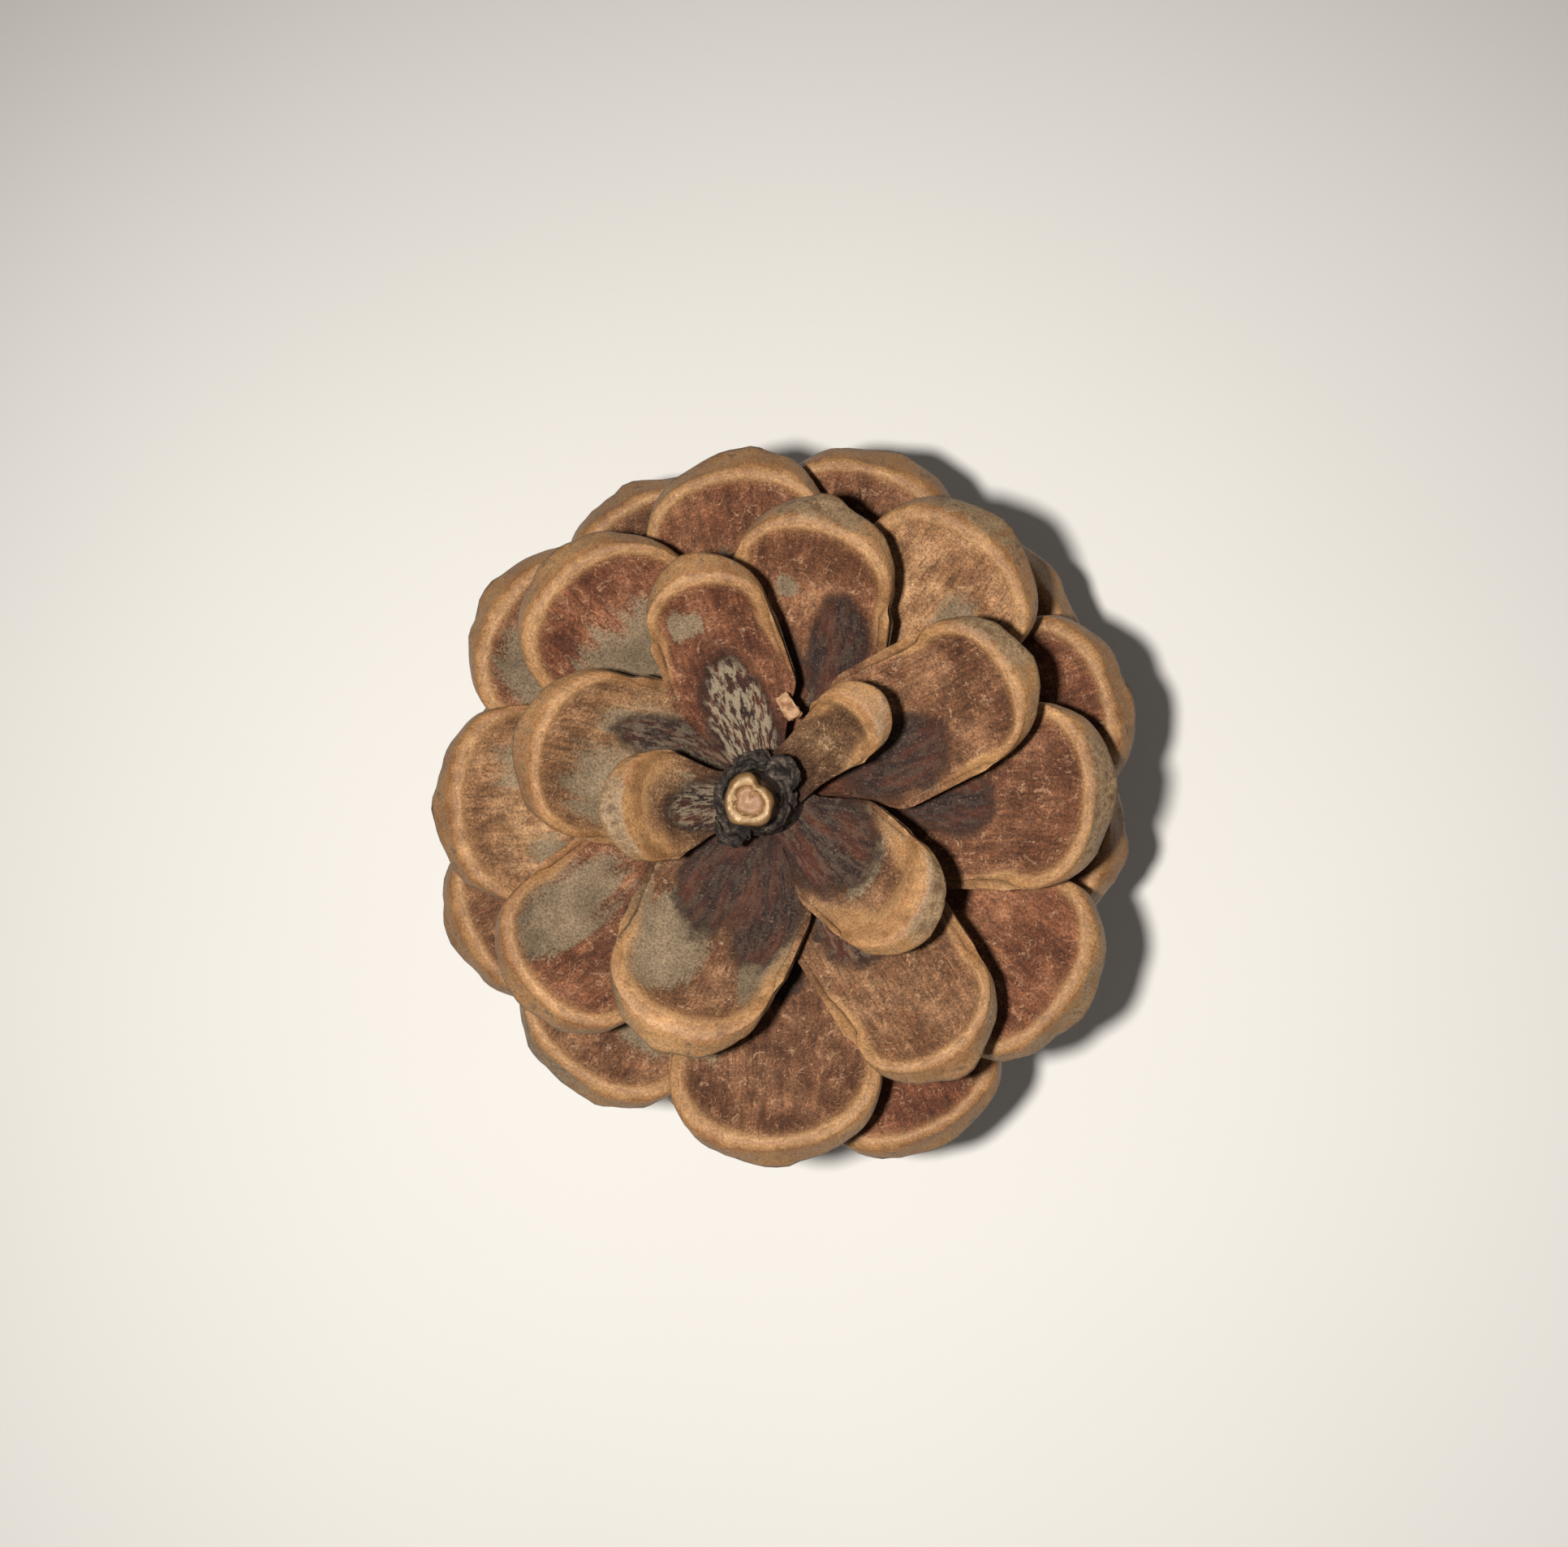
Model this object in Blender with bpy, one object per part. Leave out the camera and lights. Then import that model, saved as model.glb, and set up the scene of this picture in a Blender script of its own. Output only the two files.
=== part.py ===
"""An open pine cone that stands on its lowest scales, with its tip up.

The woody axis, every scale, the closed bud at the tip and the broken stalk grew as one
piece, so they are one solid. The scales follow the golden angle down the axis. Sizes are
in millimetres and are turned to metres where a mesh is made. +Z runs up the axis, and the
origin is under the middle of the cone, on the surface that it stands on.
"""

import math
import random

import bmesh
import bpy
from mathutils import Vector

MM = 0.001
NODE_NAME = "pine_cone"

# The spiral of scales, counted from the tip of the cone down
SCALE_COUNT = 59
GOLDEN_ANGLE = 137.5
FIRST_AZIMUTH = 61.5
DRAW_SEED = 11
DRAWN_FROM = 27

# Where the axis stands, and how far its tip leans out of the upright
AXIS_OFFSET = (0.05, 0.8)
LEAN_FROM_HEIGHT = 26.0
LEAN_TO_HEIGHT = 42.0
LEAN = (-0.9, -0.2)

# How the scales change down the spiral: scale number, then the size there
ROOT_HEIGHT = ((0, 35.2), (3, 32.4), (10, 26.4), (20, 19.2), (30, 13.4), (40, 8.8), (50, 5.8), (58, 4.0))
TIP_HEIGHT = ((0, 41.2), (5, 38.4), (10, 34.0), (20, 25.6), (30, 17.6), (40, 10.8), (50, 4.6),
              (54, 1.9), (58, 1.3))
TIP_RADIUS = ((0, 9.2), (4, 16.0), (8, 19.5), (12, 22.0), (16, 23.5), (20, 24.0), (24, 23.5),
              (28, 22.4), (32, 21.0), (38, 19.0), (44, 17.0), (50, 14.8), (58, 12.0))
WIDTH = ((0, 5.2), (1, 7.0), (4, 10.0), (8, 11.0), (12, 13.6), (24, 14.0), (36, 12.6), (44, 11.0),
         (50, 9.4), (58, 7.4))
TIP_THICKNESS = ((0, 2.2), (4, 2.8), (12, 3.6), (24, 4.0), (44, 3.4), (58, 2.6))
CUP_DEPTH = ((0, 0.5), (6, 0.8), (20, 0.6), (40, 0.4), (58, 0.3))
ROOT_WIDTH = ((0, 3.8), (3, 3.8), (8, 2.8), (58, 2.4))
WIDENS_FROM = ((0, 0.30), (1, 0.20), (2, 0.08), (58, 0.05))
WIDENS_TO = ((0, 1.05), (1, 1.00), (2, 0.60), (4, 0.52), (58, 0.50))

# Scales that grew out of the rule: turn in degrees, then reach and width in millimetres
DEPARTURES = {
    0: (-23, 0.3, 0.0),
    1: (-15, -2.4, 0.2),
    2: (-12, 0.3, 0.0),
    3: (-9, 0.6, -0.9),
    4: (-2, 0.0, 1.2),
    5: (-2, 1.6, -0.4),
    6: (-1, -2.6, 0.8),
    7: (3, 2.3, -0.6),
    8: (-4, -0.9, 0.0),
    9: (0, 0.0, 0.2),
    10: (4, 1.0, 0.4),
    11: (-1, -1.1, 0.0),
    12: (-1, 1.7, 0.8),
    13: (1, 0.0, -0.6),
    14: (-4, -0.8, 0.4),
    15: (0, 1.1, 0.4),
    16: (-3, -1.2, -0.4),
    17: (-6, 0.4, 0.0),
    18: (0, 0.0, -0.4),
    19: (-8, -0.4, 0.0),
    20: (2, 1.9, 0.0),
    21: (4, -0.2, 0.0),
    22: (-2, 0.8, 0.0),
    23: (6, -0.5, 0.0),
    24: (-3, -0.2, 0.0),
    26: (2, 0.5, 0.0),
}

# One scale: its root in the axis, its plan, and its walls
ROOT_RADIUS = 1.1
CAP_DEPTH = 0.74
CAP_POWER = 0.92
CAP_TURN = 112.0
BODY_THICKNESS = 1.0
EDGE_THICKNESS = 0.7
SWELL_FROM = 0.60
SWELL_TO = 0.92
SWELL_POWER = 1.5
RIM_RISE = 0.3
RIM_FROM = 0.78
RIM_TO = 0.92
KEEL_OVERHANG = 0.7
KEEL_FADE = 0.6
LEVEL_START = 0.3
ROLL_DRAW = 5.0
TURN_DRAW = 3.0
REACH_DRAW = 0.6

# The way round a scale from its root to its rim and back underneath:
# share of the reach, share of the thickness below the upper face, share of the overhang
SECTION = (
    (0.00, 0.00, 0.0),
    (0.50, 0.00, 0.0),
    (0.90, 0.00, 0.0),
    (1.00, 0.22, 0.2),
    (1.00, 0.58, 1.0),
    (0.94, 1.00, 0.0),
    (0.72, 1.00, 0.0),
    (0.38, 1.00, 0.0),
    (0.00, 1.00, 0.0),
)
SIDE_WALLS = ((0, 1, 7, 8), (1, 2, 6, 7), (2, 3, 4, 5, 6))
COLUMNS_WIDE = 6
COLUMNS_SMALL = 4
SMALL_FROM = 44

# The stubs of scales that never grew, round the bud
STUB_ROOT_HEIGHT = 35.2
STUB_STEP = 0.4
STUB_LENGTHS = (1.9, 2.5, 2.0, 3.4, 2.9, 1.8, 2.3, 3.3)
STUB_RISE = 1.6
STUB_WIDTH = 2.4
STUB_THICKNESS = 0.9
STUB_ROOT_RADIUS = 0.6
STUB_ROOT_HALF_WIDTH = 0.7
STUB_CUP = 0.1
STUB_OVERHANG = 0.1

# The axis from the scar of the stalk up to the bud: height, then radius
AXIS_SIDES = 12
AXIS_PROFILE = ((2.8, 0.9), (2.8, 1.7), (1.8, 2.3), (1.9, 2.9), (3.6, 3.3), (12.0, 3.2),
                (24.0, 2.9), (33.0, 2.7), (37.6, 2.1), (39.6, 1.5), (40.8, 1.6), (41.9, 1.75),
                (42.5, 1.4), (42.6, 0.9), (42.2, 0.45))

# The wood
BARK_BROWN = (0.235, 0.105, 0.048, 1.0)
BARK_ROUGHNESS = 0.72


def follow(points, number):
    """The size at a scale's number, along straight runs between the given points."""
    for (start, low), (end, high) in zip(points, points[1:]):
        if number <= end:
            return low + (high - low) * (number - start) / (end - start)
    return points[-1][1]


def smooth_step(low, high, value):
    share = min(max((value - low) / (high - low), 0.0), 1.0)
    return share * share * (3.0 - 2.0 * share)


def signed_power(value, power):
    return math.copysign(abs(value) ** power, value)


def axis_centre(height):
    """The middle of the axis at a height, which leans near the tip."""
    lean = smooth_step(LEAN_FROM_HEIGHT, LEAN_TO_HEIGHT, height)
    return Vector((AXIS_OFFSET[0] + LEAN[0] * lean, AXIS_OFFSET[1] + LEAN[1] * lean))


def scale_sizes(number, draw):
    """The place and sizes of one scale: the rule, its own departure and a small draw."""
    turn, reach, wider = DEPARTURES.get(number, (0, 0.0, 0.0))
    drawn = [draw.uniform(-1.0, 1.0) for _ in range(3)]
    if number >= DRAWN_FROM:
        turn += TURN_DRAW * drawn[0]
        reach += REACH_DRAW * drawn[1]
    return {
        "azimuth": math.radians(FIRST_AZIMUTH + GOLDEN_ANGLE * number + turn),
        "root": (ROOT_RADIUS, follow(ROOT_HEIGHT, number)),
        "tip": (follow(TIP_RADIUS, number) + reach, follow(TIP_HEIGHT, number)),
        "half_width": (follow(WIDTH, number) + wider) / 2.0,
        "tip_thickness": follow(TIP_THICKNESS, number),
        "body_thickness": BODY_THICKNESS,
        "cup": follow(CUP_DEPTH, number),
        "widens": (follow(WIDENS_FROM, number), follow(WIDENS_TO, number)),
        "roll": math.radians(ROLL_DRAW * drawn[2]),
        "overhang": KEEL_OVERHANG,
        "root_half_width": follow(ROOT_WIDTH, number) / 2.0,
        "columns": COLUMNS_SMALL if number >= SMALL_FROM else COLUMNS_WIDE,
    }


def stub_sizes(number):
    """The place and sizes of one of the stubs above the first scale."""
    height = STUB_ROOT_HEIGHT + STUB_STEP * number
    return {
        "azimuth": math.radians(FIRST_AZIMUTH - GOLDEN_ANGLE * (number + 1)),
        "root": (STUB_ROOT_RADIUS, height),
        "tip": (STUB_LENGTHS[number], height + STUB_RISE),
        "half_width": STUB_WIDTH / 2.0,
        "tip_thickness": STUB_THICKNESS,
        "body_thickness": STUB_THICKNESS,
        "cup": STUB_CUP,
        "widens": (0.0, 1.0),
        "roll": 0.0,
        "overhang": STUB_OVERHANG,
        "root_half_width": STUB_ROOT_HALF_WIDTH,
        "columns": COLUMNS_SMALL,
    }


def plan_point(sizes, across, reach, length):
    """Where a point of the scale lies in its plan: along its length, and to the side."""
    turn = math.radians(CAP_TURN) * across
    half_width = sizes["half_width"]
    cap = CAP_DEPTH * half_width
    end_along = length - cap + cap * signed_power(math.cos(turn), CAP_POWER)
    end_side = half_width * signed_power(math.sin(turn), CAP_POWER)
    root_side = sizes["root_half_width"] * across
    side = root_side + (end_side - root_side) * smooth_step(*sizes["widens"], reach)
    return end_along * reach, side


def centre_line(sizes, share):
    """A point of the scale's middle line, as radius and height, with its direction."""
    root = Vector(sizes["root"])
    tip = Vector(sizes["tip"])
    bend = Vector(((root.x + tip.x) / 2.0, root.y + (tip.y - root.y) * LEVEL_START))
    inside = min(share, 1.0)
    point = root * (1 - inside) ** 2 + bend * 2 * inside * (1 - inside) + tip * inside ** 2
    direction = ((bend - root) * (1 - inside) + (tip - bend) * inside).normalized()
    return point, direction


def scale_thickness(sizes, across, reach):
    """The thickness of the scale, which swells to the rim and thins to its sides."""
    body = sizes["body_thickness"]
    swell = smooth_step(SWELL_FROM, SWELL_TO, reach) * (1.0 - abs(across) ** SWELL_POWER)
    thinned = body - (body - EDGE_THICKNESS) * across * across
    return thinned + (sizes["tip_thickness"] - body) * swell


def scale_point(sizes, across, station):
    """A point of the scale's surface, in millimetres."""
    reach, depth, overhang = station
    root, tip = sizes["root"], sizes["tip"]
    length = math.hypot(tip[0] - root[0], tip[1] - root[1])
    along, side = plan_point(sizes, across, reach, length)
    point, direction = centre_line(sizes, along / length)
    rim = RIM_RISE * smooth_step(RIM_FROM, RIM_TO, reach)
    cup = sizes["cup"] * (side / sizes["half_width"]) ** 2 * reach
    lift = cup + rim - depth * scale_thickness(sizes, across, reach)
    roll = sizes["roll"] * reach
    rolled_lift = lift * math.cos(roll) + side * math.sin(roll)
    rolled_side = side * math.cos(roll) - lift * math.sin(roll)
    out = overhang * sizes["overhang"] * (1.0 - KEEL_FADE * abs(across))
    radius = point.x - direction.y * rolled_lift + direction.x * out
    height = point.y + direction.x * rolled_lift + direction.y * out
    centre = axis_centre(height)
    azimuth = sizes["azimuth"]
    return Vector((
        centre.x + radius * math.cos(azimuth) - rolled_side * math.sin(azimuth),
        centre.y + radius * math.sin(azimuth) + rolled_side * math.cos(azimuth),
        height,
    ))


def scale_mesh(sizes):
    """One scale as a closed mesh: columns fan out from its root and go round its section."""
    mesh = bmesh.new()
    count = sizes["columns"]
    columns = []
    for column in range(count + 1):
        across = 2.0 * column / count - 1.0
        columns.append([mesh.verts.new(scale_point(sizes, across, station) * MM) for station in SECTION])
    for left, right in zip(columns, columns[1:]):
        for step in range(len(SECTION) - 1):
            mesh.faces.new((left[step], left[step + 1], right[step + 1], right[step]))
    for side in (columns[0], columns[-1]):
        for wall in SIDE_WALLS:
            mesh.faces.new([side[station] for station in wall])
    mesh.faces.new([column[0] for column in columns] + [column[-1] for column in reversed(columns)])
    bmesh.ops.triangulate(mesh, faces=mesh.faces[:])
    bmesh.ops.recalc_face_normals(mesh, faces=mesh.faces[:])
    return mesh


def axis_mesh():
    """The axis as a closed turned body, from the scar of the stalk up to the bud."""
    mesh = bmesh.new()
    rings = []
    for height, radius in AXIS_PROFILE:
        centre = axis_centre(height)
        ring = []
        for side in range(AXIS_SIDES):
            angle = 2.0 * math.pi * side / AXIS_SIDES
            offset = Vector((math.cos(angle), math.sin(angle))) * radius
            ring.append(mesh.verts.new((centre + offset).to_3d() * MM + Vector((0.0, 0.0, height * MM))))
        rings.append(ring)
    for lower, upper in zip(rings, rings[1:]):
        for side in range(AXIS_SIDES):
            after = (side + 1) % AXIS_SIDES
            mesh.faces.new((lower[side], lower[after], upper[after], upper[side]))
    mesh.faces.new(list(reversed(rings[0])))
    mesh.faces.new(rings[-1])
    bmesh.ops.triangulate(mesh, faces=mesh.faces[:])
    bmesh.ops.recalc_face_normals(mesh, faces=mesh.faces[:])
    return mesh


def add_object(name, mesh, collection):
    data = bpy.data.meshes.new(name)
    mesh.to_mesh(data)
    mesh.free()
    added = bpy.data.objects.new(name, data)
    collection.objects.link(added)
    return added


def fuse(body, repeats):
    """Joins the scales to the axis with one union, and removes their objects."""
    union = body.modifiers.new("grown together", "BOOLEAN")
    union.operation = "UNION"
    union.operand_type = "COLLECTION"
    union.collection = repeats
    union.solver = "MANIFOLD"
    bpy.context.view_layer.update()
    evaluated = body.evaluated_get(bpy.context.evaluated_depsgraph_get())
    fused = bpy.data.meshes.new_from_object(evaluated)
    body.modifiers.clear()
    body.data = fused
    for scale in list(repeats.objects):
        bpy.data.objects.remove(scale)
    bpy.data.collections.remove(repeats)


def keep_largest_shell(mesh):
    """Drops loose scraps, and the shells of hollows that the union sealed."""
    unseen = set(mesh.faces)
    shells = []
    while unseen:
        shell = {unseen.pop()}
        edge_of_search = list(shell)
        while edge_of_search:
            face = edge_of_search.pop()
            for edge in face.edges:
                for neighbour in edge.link_faces:
                    if neighbour in unseen:
                        unseen.discard(neighbour)
                        shell.add(neighbour)
                        edge_of_search.append(neighbour)
        shells.append(shell)
    shells.sort(key=len)
    for shell in shells[:-1]:
        bmesh.ops.delete(mesh, geom=list(shell), context="FACES")


def drop_flaps(mesh):
    """Drops pairs of faces that lie back to back, which the union can leave at a narrow crossing."""
    seen = {}
    flaps = []
    for face in mesh.faces:
        corners = frozenset(face.verts)
        if corners in seen:
            flaps += [face, seen[corners]]
        seen[corners] = face
    bmesh.ops.delete(mesh, geom=flaps, context="FACES")


def cut_flat_feet(mesh):
    """Cuts the lowest scales flat at the height of the surface that they stand on."""
    geometry = mesh.verts[:] + mesh.edges[:] + mesh.faces[:]
    bmesh.ops.bisect_plane(mesh, geom=geometry, dist=1e-7, plane_co=(0, 0, 0), plane_no=(0, 0, -1),
                           clear_outer=True)
    rims = [edge for edge in mesh.edges if edge.is_boundary]
    bmesh.ops.holes_fill(mesh, edges=rims, sides=0)
    bmesh.ops.triangulate(mesh, faces=mesh.faces[:])


def finish_cone(cone):
    mesh = bmesh.new()
    mesh.from_mesh(cone.data)
    keep_largest_shell(mesh)
    cut_flat_feet(mesh)
    drop_flaps(mesh)
    mesh.to_mesh(cone.data)
    mesh.free()
    cone.data.shade_smooth()
    cone.data.set_sharp_from_angle(angle=math.radians(40))


def bark_material():
    bark = bpy.data.materials.new("weathered_scale_wood")
    bark.use_nodes = True
    shader = bark.node_tree.nodes["Principled BSDF"]
    shader.inputs["Base Color"].default_value = BARK_BROWN
    shader.inputs["Roughness"].default_value = BARK_ROUGHNESS
    shader.inputs["Metallic"].default_value = 0.0
    return bark


def build_cone():
    scene_collection = bpy.context.scene.collection
    repeats = bpy.data.collections.new("scales")
    scene_collection.children.link(repeats)
    draw = random.Random(DRAW_SEED)
    for number in range(SCALE_COUNT):
        add_object(f"scale_{number:02d}", scale_mesh(scale_sizes(number, draw)), repeats)
    for number in range(len(STUB_LENGTHS)):
        add_object(f"stub_{number}", scale_mesh(stub_sizes(number)), repeats)
    cone = add_object(NODE_NAME, axis_mesh(), scene_collection)
    fuse(cone, repeats)
    finish_cone(cone)
    cone.data.materials.clear()
    cone.data.materials.append(bark_material())


def main():
    for leftover in list(bpy.data.objects):
        bpy.data.objects.remove(leftover)
    build_cone()


main()
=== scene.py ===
"""The looks of an open pine cone: every scale, the stubs and the bud at its tip, and its axis.

Each scale keeps to the surface of the solid, which is repeated here in millimetres, and adds
what is finer: the rolled rim and its crest, the prints that the seeds left, and weathered wood.
"""
import math
import random

import bpy
import numpy as np
from mathutils import Matrix, Vector, noise


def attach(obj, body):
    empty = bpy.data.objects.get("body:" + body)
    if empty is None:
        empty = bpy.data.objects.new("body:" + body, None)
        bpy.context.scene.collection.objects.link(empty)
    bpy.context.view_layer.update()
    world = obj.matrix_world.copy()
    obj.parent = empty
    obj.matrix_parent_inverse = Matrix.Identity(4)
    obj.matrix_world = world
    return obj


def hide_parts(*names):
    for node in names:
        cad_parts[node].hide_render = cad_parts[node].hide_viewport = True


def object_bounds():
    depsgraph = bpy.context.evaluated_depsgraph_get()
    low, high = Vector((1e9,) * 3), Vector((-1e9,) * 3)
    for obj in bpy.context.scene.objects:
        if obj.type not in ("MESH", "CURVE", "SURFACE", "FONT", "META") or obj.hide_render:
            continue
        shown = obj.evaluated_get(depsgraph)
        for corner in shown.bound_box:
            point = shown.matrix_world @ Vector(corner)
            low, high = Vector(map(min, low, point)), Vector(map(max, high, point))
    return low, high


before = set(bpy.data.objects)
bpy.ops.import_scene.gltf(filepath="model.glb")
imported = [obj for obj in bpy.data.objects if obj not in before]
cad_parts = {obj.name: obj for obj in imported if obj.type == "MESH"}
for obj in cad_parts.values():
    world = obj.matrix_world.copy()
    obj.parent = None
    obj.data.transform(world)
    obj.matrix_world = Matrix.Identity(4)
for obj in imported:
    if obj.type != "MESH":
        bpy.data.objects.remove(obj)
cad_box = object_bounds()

MM = 0.001
NODE = "pine_cone"

# The spiral of scales, counted from the tip of the cone down
SCALE_COUNT = 59
GOLDEN_ANGLE = 137.5
FIRST_AZIMUTH = 61.5
DRAW_SEED = 11
DRAWN_FROM = 27

# Where the axis stands, and how far its tip leans out of the upright
AXIS_OFFSET = (0.05, 0.8)
LEAN_FROM_HEIGHT = 26.0
LEAN_TO_HEIGHT = 42.0
LEAN = (-0.9, -0.2)

# How the scales change down the spiral: scale number, then the size there
ROOT_HEIGHT = ((0, 35.2), (3, 32.4), (10, 26.4), (20, 19.2), (30, 13.4), (40, 8.8), (50, 5.8),
               (58, 4.0))
TIP_HEIGHT = ((0, 41.2), (5, 38.4), (10, 34.0), (20, 25.6), (30, 17.6), (40, 10.8), (50, 4.6),
              (54, 1.9), (58, 1.3))
TIP_RADIUS = ((0, 9.2), (4, 16.0), (8, 19.5), (12, 22.0), (16, 23.5), (20, 24.0), (24, 23.5),
              (28, 22.4), (32, 21.0), (38, 19.0), (44, 17.0), (50, 14.8), (58, 12.0))
WIDTH = ((0, 5.2), (1, 7.0), (4, 10.0), (8, 11.0), (12, 13.6), (24, 14.0), (36, 12.6), (44, 11.0),
         (50, 9.4), (58, 7.4))
TIP_THICKNESS = ((0, 2.2), (4, 2.8), (12, 3.6), (24, 4.0), (44, 3.4), (58, 2.6))
CUP_DEPTH = ((0, 0.5), (6, 0.8), (20, 0.6), (40, 0.4), (58, 0.3))
ROOT_WIDTH = ((0, 3.8), (3, 3.8), (8, 2.8), (58, 2.4))
WIDENS_FROM = ((0, 0.30), (1, 0.20), (2, 0.08), (58, 0.05))
WIDENS_TO = ((0, 1.05), (1, 1.00), (2, 0.60), (4, 0.52), (58, 0.50))

# Scales that grew out of the rule: turn in degrees, then reach and width in millimetres
DEPARTURES = {0: (-23, 0.3, 0.0), 1: (-15, -2.4, 0.2), 2: (-12, 0.3, 0.0), 3: (-9, 0.6, -0.9),
              4: (-2, 0.0, 1.2), 5: (-2, 1.6, -0.4), 6: (-1, -2.6, 0.8), 7: (3, 2.3, -0.6),
              8: (-4, -0.9, 0.0), 9: (0, 0.0, 0.2), 10: (4, 1.0, 0.4), 11: (-1, -1.1, 0.0),
              12: (-1, 1.7, 0.8), 13: (1, 0.0, -0.6), 14: (-4, -0.8, 0.4), 15: (0, 1.1, 0.4),
              16: (-3, -1.2, -0.4), 17: (-6, 0.4, 0.0), 18: (0, 0.0, -0.4), 19: (-8, -0.4, 0.0),
              20: (2, 1.9, 0.0), 21: (4, -0.2, 0.0), 22: (-2, 0.8, 0.0), 23: (6, -0.5, 0.0),
              24: (-3, -0.2, 0.0), 26: (2, 0.5, 0.0)}

# One scale: its root in the axis, its plan, and its walls
ROOT_RADIUS = 1.1
CAP_DEPTH = 0.74
CAP_POWER = 0.92
CAP_TURN = 112.0
BODY_THICKNESS = 1.0
EDGE_THICKNESS = 0.7
SWELL_FROM = 0.60
SWELL_TO = 0.92
SWELL_POWER = 1.5
RIM_RISE = 0.3
RIM_FROM = 0.78
RIM_TO = 0.92
KEEL_OVERHANG = 0.7
KEEL_FADE = 0.6
KEEL_DEPTH = 0.58
LEVEL_START = 0.3
ROLL_DRAW = 5.0
TURN_DRAW = 3.0
REACH_DRAW = 0.6

# The stubs of scales that never grew, round the bud
STUB_ROOT_HEIGHT = 35.2
STUB_STEP = 0.4
STUB_LENGTHS = (1.9, 2.5, 2.0, 3.4, 2.9, 1.8, 2.3, 3.3)
STUB_RISE = 1.6
STUB_WIDTH = 2.4
STUB_THICKNESS = 0.9
STUB_ROOT_RADIUS = 0.6
STUB_ROOT_HALF_WIDTH = 0.7
STUB_CUP = 0.1
STUB_OVERHANG = 0.1

# The axis below the bud: height, then radius
AXIS_SIDES = 40
AXIS_STEP = 0.45
AXIS_PROFILE = ((2.8, 0.9), (2.8, 1.7), (1.8, 2.3), (1.9, 2.9), (3.6, 3.3), (12.0, 3.2),
                (24.0, 2.9), (33.0, 2.7), (37.6, 2.1), (39.6, 1.5))

# Roughness of the axis: wavelength, height and the shift that sets one noise apart from another
AXIS_ROUGHNESS = ((0.9, 0.10, 2.0), (2.2, 0.12, 3.0))
AXIS_SHRINK = 0.08
AXIS_CORE = 0.3

# The bud at the tip, its inner bowl last: height, then radius
BUD_SIDES = 56
BUD_PROFILE = ((38.2, 1.85), (38.6, 1.72), (39.0, 1.58), (39.4, 1.52), (39.8, 1.54), (40.2, 1.58),
               (40.6, 1.62), (41.0, 1.66), (41.4, 1.70), (41.9, 1.75),
               (42.25, 1.74), (42.48, 1.62), (42.58, 1.46), (42.54, 1.30), (42.38, 1.16),
               (42.12, 1.04), (41.92, 0.86), (41.90, 0.62), (42.00, 0.38), (42.06, 0.16))

# How the bud departs from round above its neck: its size, its notch, and its lobes as their
# number, turn in degrees and depth. Its noises are wavelength, height and shift.
BUD_NECK = 39.0
BUD_TOP = 42.0
BUD_SPREAD = 1.01
NOTCH_TURN = 62.0
NOTCH_WIDTH = 0.26
NOTCH_DEPTH = 0.17
NOTCH_DROP = 0.12
BUD_LOBES = ((2.0, 110.0, 0.05), (3.0, 95.0, 0.06))
LIP_NOISE = (0.9, 0.13, 4.0)
BARK_NOISE = (0.5, 0.12, 6.0)
BARK_STRETCH = (1.0, 1.0, 0.35)
DROP_NOISE = (0.6, 0.20, 8.0)

# A splinter caught beside the third scale: its middle, its sizes and its turn in degrees
CHIP_PLACE = (1.2, 6.5, 35.4)
CHIP_SIZE = (0.9, 1.7, 0.5)
CHIP_TURN = -35.0
CHIP_CUTS = 7
CHIP_ROUGHNESS = 0.35
CHIP_SEED = 3
CHIP_SMOOTHING = {"factor": 0.5, "repeat": 2}

# The slab that each scale is shaped from: rows to the rim, columns across, layers through, and
# how much its rows and columns crowd to the outline
SLAB_ROWS = 38
SLAB_COLUMNS = 52
SLAB_LAYERS = 8
ROW_CROWDING = 1.5
COLUMN_CROWDING = 0.28

# What counts as the last row and as an edge along an axis, and the points of a measured outline
AT_RIM = 0.999999
ALONG_AXIS = 0.9
FLANK_POINTS = 40
RIM_POINTS = 120

# Where the relief of the rim, its tan and the swells fade in, as shares of a scale's length
RELIEF_FADE = (0.46, 0.86)
TAN_FADE = (0.42, 0.74)
SWELL_FADE = (0.05, 0.4)

# The rolled rim of a scale, by distance from its outline, narrower along its flanks
ROLL_WIDTH = 0.95
FLANK_ROLL_WIDTH = 0.32
FLANK_BAND = 0.2
CREST_AT = 0.85
CREST_WIDTH = 0.36
CREST_HEIGHT = 0.13
RING_AT = 2.3
RING_WIDTH = 0.8
RING_DEPTH = 0.08
ROLL_DEPTH = 0.36
ROLL_EASE = 0.14
FULL_HALF_WIDTH = 5.5
UNDERCUT = 0.06
KEEL_POWER = 1.3
KEEL_ROUNDING = 0.02

# The uneven outline, only ever pulled inwards: wavelengths and depths in millimetres
RAGGED_WAVE = 1.7
RAGGED_DEPTH = 0.24
STUB_RAGGED_DEPTH = 0.7
WAVY_WAVE = 4.2
WAVY_DEPTH = 0.30
WAVY_FADE = (-0.2, 0.5)
PULL_FADE = (0.5, 1.0)
OUTLINE_TURN = 1.6

# How far the noises of the outline and of the faces change through a scale, in millimetres
OUTLINE_CHANGE = 0.8
FACE_CHANGE = 2.0

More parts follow.
